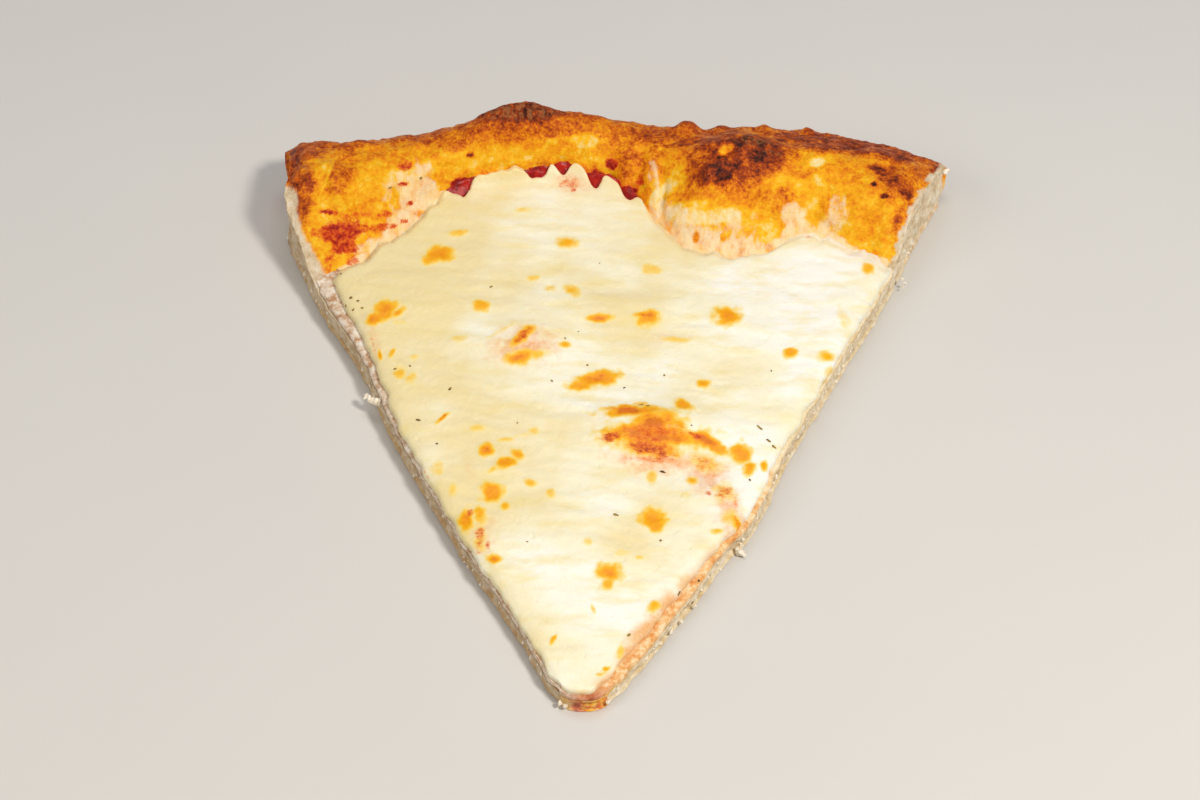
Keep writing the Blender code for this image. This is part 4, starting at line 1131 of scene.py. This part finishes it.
def chip(length, width, thickness, turn, draw):
    # a bent flake: a seven-sided outline with two middles, one above and one below it
    sides = 7
    angle = np.linspace(0, 2 * math.pi, sides + 1)[:-1]
    reach = 1 + 0.35 * draw.uniform(-1, 1, sides)
    bend = draw.uniform(-.4, .4, sides) * thickness
    rim = np.stack([np.cos(angle) * length * reach, np.sin(angle) * width * reach, bend], axis=1)
    points = np.concatenate([rim, [[0, 0, thickness], [0, 0, -thickness]]])
    spin = np.array([[math.cos(turn), -math.sin(turn), 0], [math.sin(turn), math.cos(turn), 0], [0, 0, 1]])
    first, above, below = np.arange(sides), np.full(sides, sides), np.full(sides, sides + 1)
    after = (first + 1) % sides
    upper, lower = np.stack([first, after, above], axis=1), np.stack([after, first, below], axis=1)
    return points @ spin.T, np.concatenate([upper, lower])


def settle(points, spot, normal):
    # turns points from upright to the surface's normal, and moves them to the spot
    turn = np.array(Vector((0, 0, 1)).rotation_difference(normal).to_matrix())
    return points @ turn.T + np.array(spot)


def joinedMesh(name, shapes, sharpFrom=40):
    points, faces, start = [], [], 0
    for shapePoints, shapeFaces in shapes:
        points.append(shapePoints)
        faces += (shapeFaces + start).tolist()
        start += len(shapePoints)
    mesh = bpy.data.meshes.new(name)
    mesh.from_pydata((np.concatenate(points) * toMetres).tolist(), [], faces)
    mesh.shade_smooth()
    mesh.set_sharp_from_angle(angle=math.radians(sharpFrom))
    return mesh


def herbMaterial():  # dried oregano and basil, crushed: matt, brown-green flakes
    return plainMaterial("driedHerbs", 1.5, 2, [(0.38, "5C3E14"), (0.50, "8A6420"), (0.62, "A08436")], 0.75)


def makeHerbs(material, tree):
    draw = np.random.default_rng(7)
    shapes = []
    for across, down, size, turn in herbs["named"].values():
        spot, normal, _, _ = tree.ray_cast(*photoRay(across, down))
        length, width = herbs["length"] * size * 0.6, herbs["width"] * 0.55
        points, faces = chip(length, width, herbs["thickness"], math.radians(turn), draw)
        shapes.append((settle(points, spot + normal * 0.08, normal), faces))
    while len(shapes) < len(herbs["named"]) + herbs["strewn"]:
        angle, far = draw.uniform(-0.9, 0.9) * math.radians(cutPizza["halfAngle"]), draw.uniform(55, 185)
        x, y = cutPizza["centre"][0] + far * math.sin(angle), cutPizza["centre"][1] + far * math.cos(angle)
        spot, normal, _, _ = tree.ray_cast(Vector((x, y, 60)), Vector((0, 0, -1)))
        size = draw.uniform(0.25, 0.5)
        length, width, thickness = herbs["length"] * size, herbs["width"] * size, herbs["thickness"] * 0.7
        points, faces = chip(length, width, thickness, draw.uniform(0, 6.3), draw)
        if spot is not None:
            shapes.append((settle(points, spot + normal * 0.04, normal), faces))
    return placed("driedHerbs", joinedMesh("driedHerbs", shapes), material)


crumbs = {
    "size": 0.70, "onCuts": 150,
    # torn tufts and crumbs that stand out: across and down in the photograph, height over the base, size
    "named": {
        "tuftRoot": (380, 403, 4.6, 1.0), "tuftA": (376.5, 402, 4.5, 1.1), "tuftB": (373, 400.5, 4.4, 1.0),
        "tuftC": (369.5, 399, 4.3, 1.05), "tuftEnd": (366.5, 396.5, 4.2, .9),
        "hanging": (740.5, 552.5, .9, 1.1), "hangingUpper": (737, 549, 1.2, .8),
        "hangingEnd": (744, 555, .7, .6), "wispA": (464, 557, 1.6, .45), "wispB": (464.5, 562, 1.2, .4),
        "wispC": (468, 567, 1.0, .5), "wispD": (473, 570, .8, .4), "rightWispA": (902, 279, 3.0, .5),
        "rightWispB": (905, 283, 2.6, .4), "rightWispC": (903, 287, 2.0, .4),
        "cornerFlake": (945, 172, 13.0, .9), "cornerFlakeEnd": (948, 170, 13.4, .6),
        "tipLeft": (560, 703, 1.6, .8), "tipLeftLow": (565, 706, 1.2, .7), "tipRight": (608, 702, 1.4, .7),
        "lowA": (681, 622, 1.4, .6), "lowB": (671, 632, 1.4, .55), "lowC": (660, 643, 1.3, .6),
        "lowD": (695, 606, 1.5, .5), "lowE": (756, 504, 2.0, .5), "lowF": (763, 494, 2.1, .45),
    },
}


def lumpShape(size, draw):
    # a torn crumb: a twenty-sided ball with every corner pulled in or out
    golden = (1 + math.sqrt(5)) / 2
    corners = []
    for one in (-1, 1):
        for other in (-golden, golden):
            corners += [(0, one, other), (one, other, 0), (other, 0, one)]
    corners = np.array(corners) / math.hypot(1, golden)
    bm = bmesh.new()
    for corner in corners:
        bm.verts.new(corner)
    bmesh.ops.convex_hull(bm, input=bm.verts[:])
    bmesh.ops.subdivide_edges(bm, edges=bm.edges[:], cuts=1, use_grid_fill=True)
    bmesh.ops.triangulate(bm, faces=bm.faces[:])
    bmesh.ops.recalc_face_normals(bm, faces=bm.faces[:])
    bm.verts.index_update()
    points = np.array([v.co for v in bm.verts])
    faces = np.array([[v.index for v in f.verts] for f in bm.faces])
    bm.free()
    points = points * (1 + 0.5 * noise(points * 1.6 + draw.uniform(0, 50, 3), 1.0, 3))[:, None]
    return points * size * draw.uniform(0.7, 1.2, 3), faces


def crumbMaterial():  # torn white crumb, dry and matt
    return plainMaterial("breadCrumbs", 0.8, 2, [(0.35, "F0E0C4"), (0.6, "FBF3E2")], 0.85)


def crumbAt(spot, size, draw):  # a crumb with its middle at the spot, kept off the floor
    points, faces = lumpShape(size, draw)
    points = points + np.array(spot)
    points[:, 2] = np.maximum(points[:, 2], 0.02)
    return points, faces


def makeCrumbs(material, tree):
    draw = np.random.default_rng(11)
    shapes = []
    for across, down, height, size in crumbs["named"].values():
        eye, way = photoRay(across, down)
        shapes.append(crumbAt(eye + way * ((height - eye.z) / way.z), size, draw))
    while len(shapes) < crumbs["onCuts"] + len(crumbs["named"]):
        side = draw.choice((-1, 1))
        fromCentre, height = draw.uniform(2, 190) + 30, draw.uniform(0.3, 3.0)
        angle = side * math.radians(cutPizza["halfAngle"])
        x = cutPizza["centre"][0] + fromCentre * math.sin(angle)
        y = cutPizza["centre"][1] + fromCentre * math.cos(angle)
        out = Vector((side * math.cos(angle), -abs(math.sin(angle)), 0))
        spot, _, _, _ = tree.ray_cast(Vector((x, y, height)) + out * 20, -out)
        size = crumbs["size"] * draw.uniform(0.35, 1.0) ** 1.5
        if spot is not None:
            shapes.append(crumbAt(spot, size, draw))
    return placed("crumbs", joinedMesh("crumbs", shapes, 60), material)


# The stage: a pale floor, soft studio light and the photograph's camera

studio = {
    "floor": ("D7D5D1", "D9D7D3"), "floorHalf": 3.0, "floorHeight": -0.0002,
    "world": 0.26, "worldColour": (0.94, 0.96, 1.0, 1.0),
    # name: place in metres, size in metres, power in watts, colour
    "lights": {
        "keyRight": ((0.46, -0.40, 0.74), 0.16, 6.0, "FFF8EE"),
        "fillLeft": ((-0.62, -0.30, 0.50), 0.4, 1.7, "FFF3E4"),
        "top": ((0.0, 0.35, 0.85), 0.5, 1.6, "FFFFFF"),
    },
}


def makeStage():
    dark, pale = studio["floor"]
    material = plainMaterial("paleFloor", 60, 3, [(0.2, dark), (0.8, pale)], 0.7)
    half, height = studio["floorHalf"], studio["floorHeight"]
    corners = [(-half, -half, height), (half, -half, height), (half, half, height), (-half, half, height)]
    mesh = bpy.data.meshes.new("floor")
    mesh.from_pydata(corners, [], [(0, 1, 2, 3)])
    floor = bpy.data.objects.new("floor", mesh)
    bpy.context.scene.collection.objects.link(floor)
    mesh.materials.append(material)

    world = bpy.data.worlds.new("studio")
    bpy.context.scene.world = world
    world.use_nodes = True
    background = world.node_tree.nodes["Background"]
    fill(world.node_tree, background, {"Color": studio["worldColour"], "Strength": studio["world"]})
    for name, (spot, size, power, tone) in studio["lights"].items():
        light = bpy.data.lights.new(name, "AREA")
        light.size, light.energy, light.color = size, power, colour(tone)[:3]
        lamp = bpy.data.objects.new(name, light)
        lamp.location = spot
        lamp.rotation_euler = (-Vector(spot)).to_track_quat("-Z", "Y").to_euler()
        bpy.context.scene.collection.objects.link(lamp)


def makeCamera():
    camera = bpy.data.cameras.new("photographCamera")
    camera.lens, camera.sensor_width = photoCamera["lens"], photoCamera["sensor"]
    camera.clip_start = 0.05
    piece = bpy.data.objects.new("photographCamera", camera)
    eye, _, _, _ = photoAxes()
    piece.location = eye * toMetres
    piece.rotation_euler = (math.radians(90 - photoCamera["elevation"]), 0, 0)
    bpy.context.scene.collection.objects.link(piece)
    bpy.context.scene.camera = piece
    bpy.context.scene.view_settings.view_transform = "Standard"


makeStage()
makeCamera()
print("stage and camera are made")
breadPiece = makeBread(breadMaterial())
print("bread:", len(breadPiece.data.polygons), "faces")
saucePiece = makeSauce(sauceMaterial())
print("sauce:", len(saucePiece.data.polygons), "faces")
cheesePiece = makeCheese(mozzarellaMaterial())
print("cheese:", len(cheesePiece.data.polygons), "faces")
slicePieces = surfaceOf([breadPiece, saucePiece, cheesePiece])
makeHerbs(herbMaterial(), slicePieces)
makeCrumbs(crumbMaterial(), slicePieces)
print("herbs and crumbs are strewn")
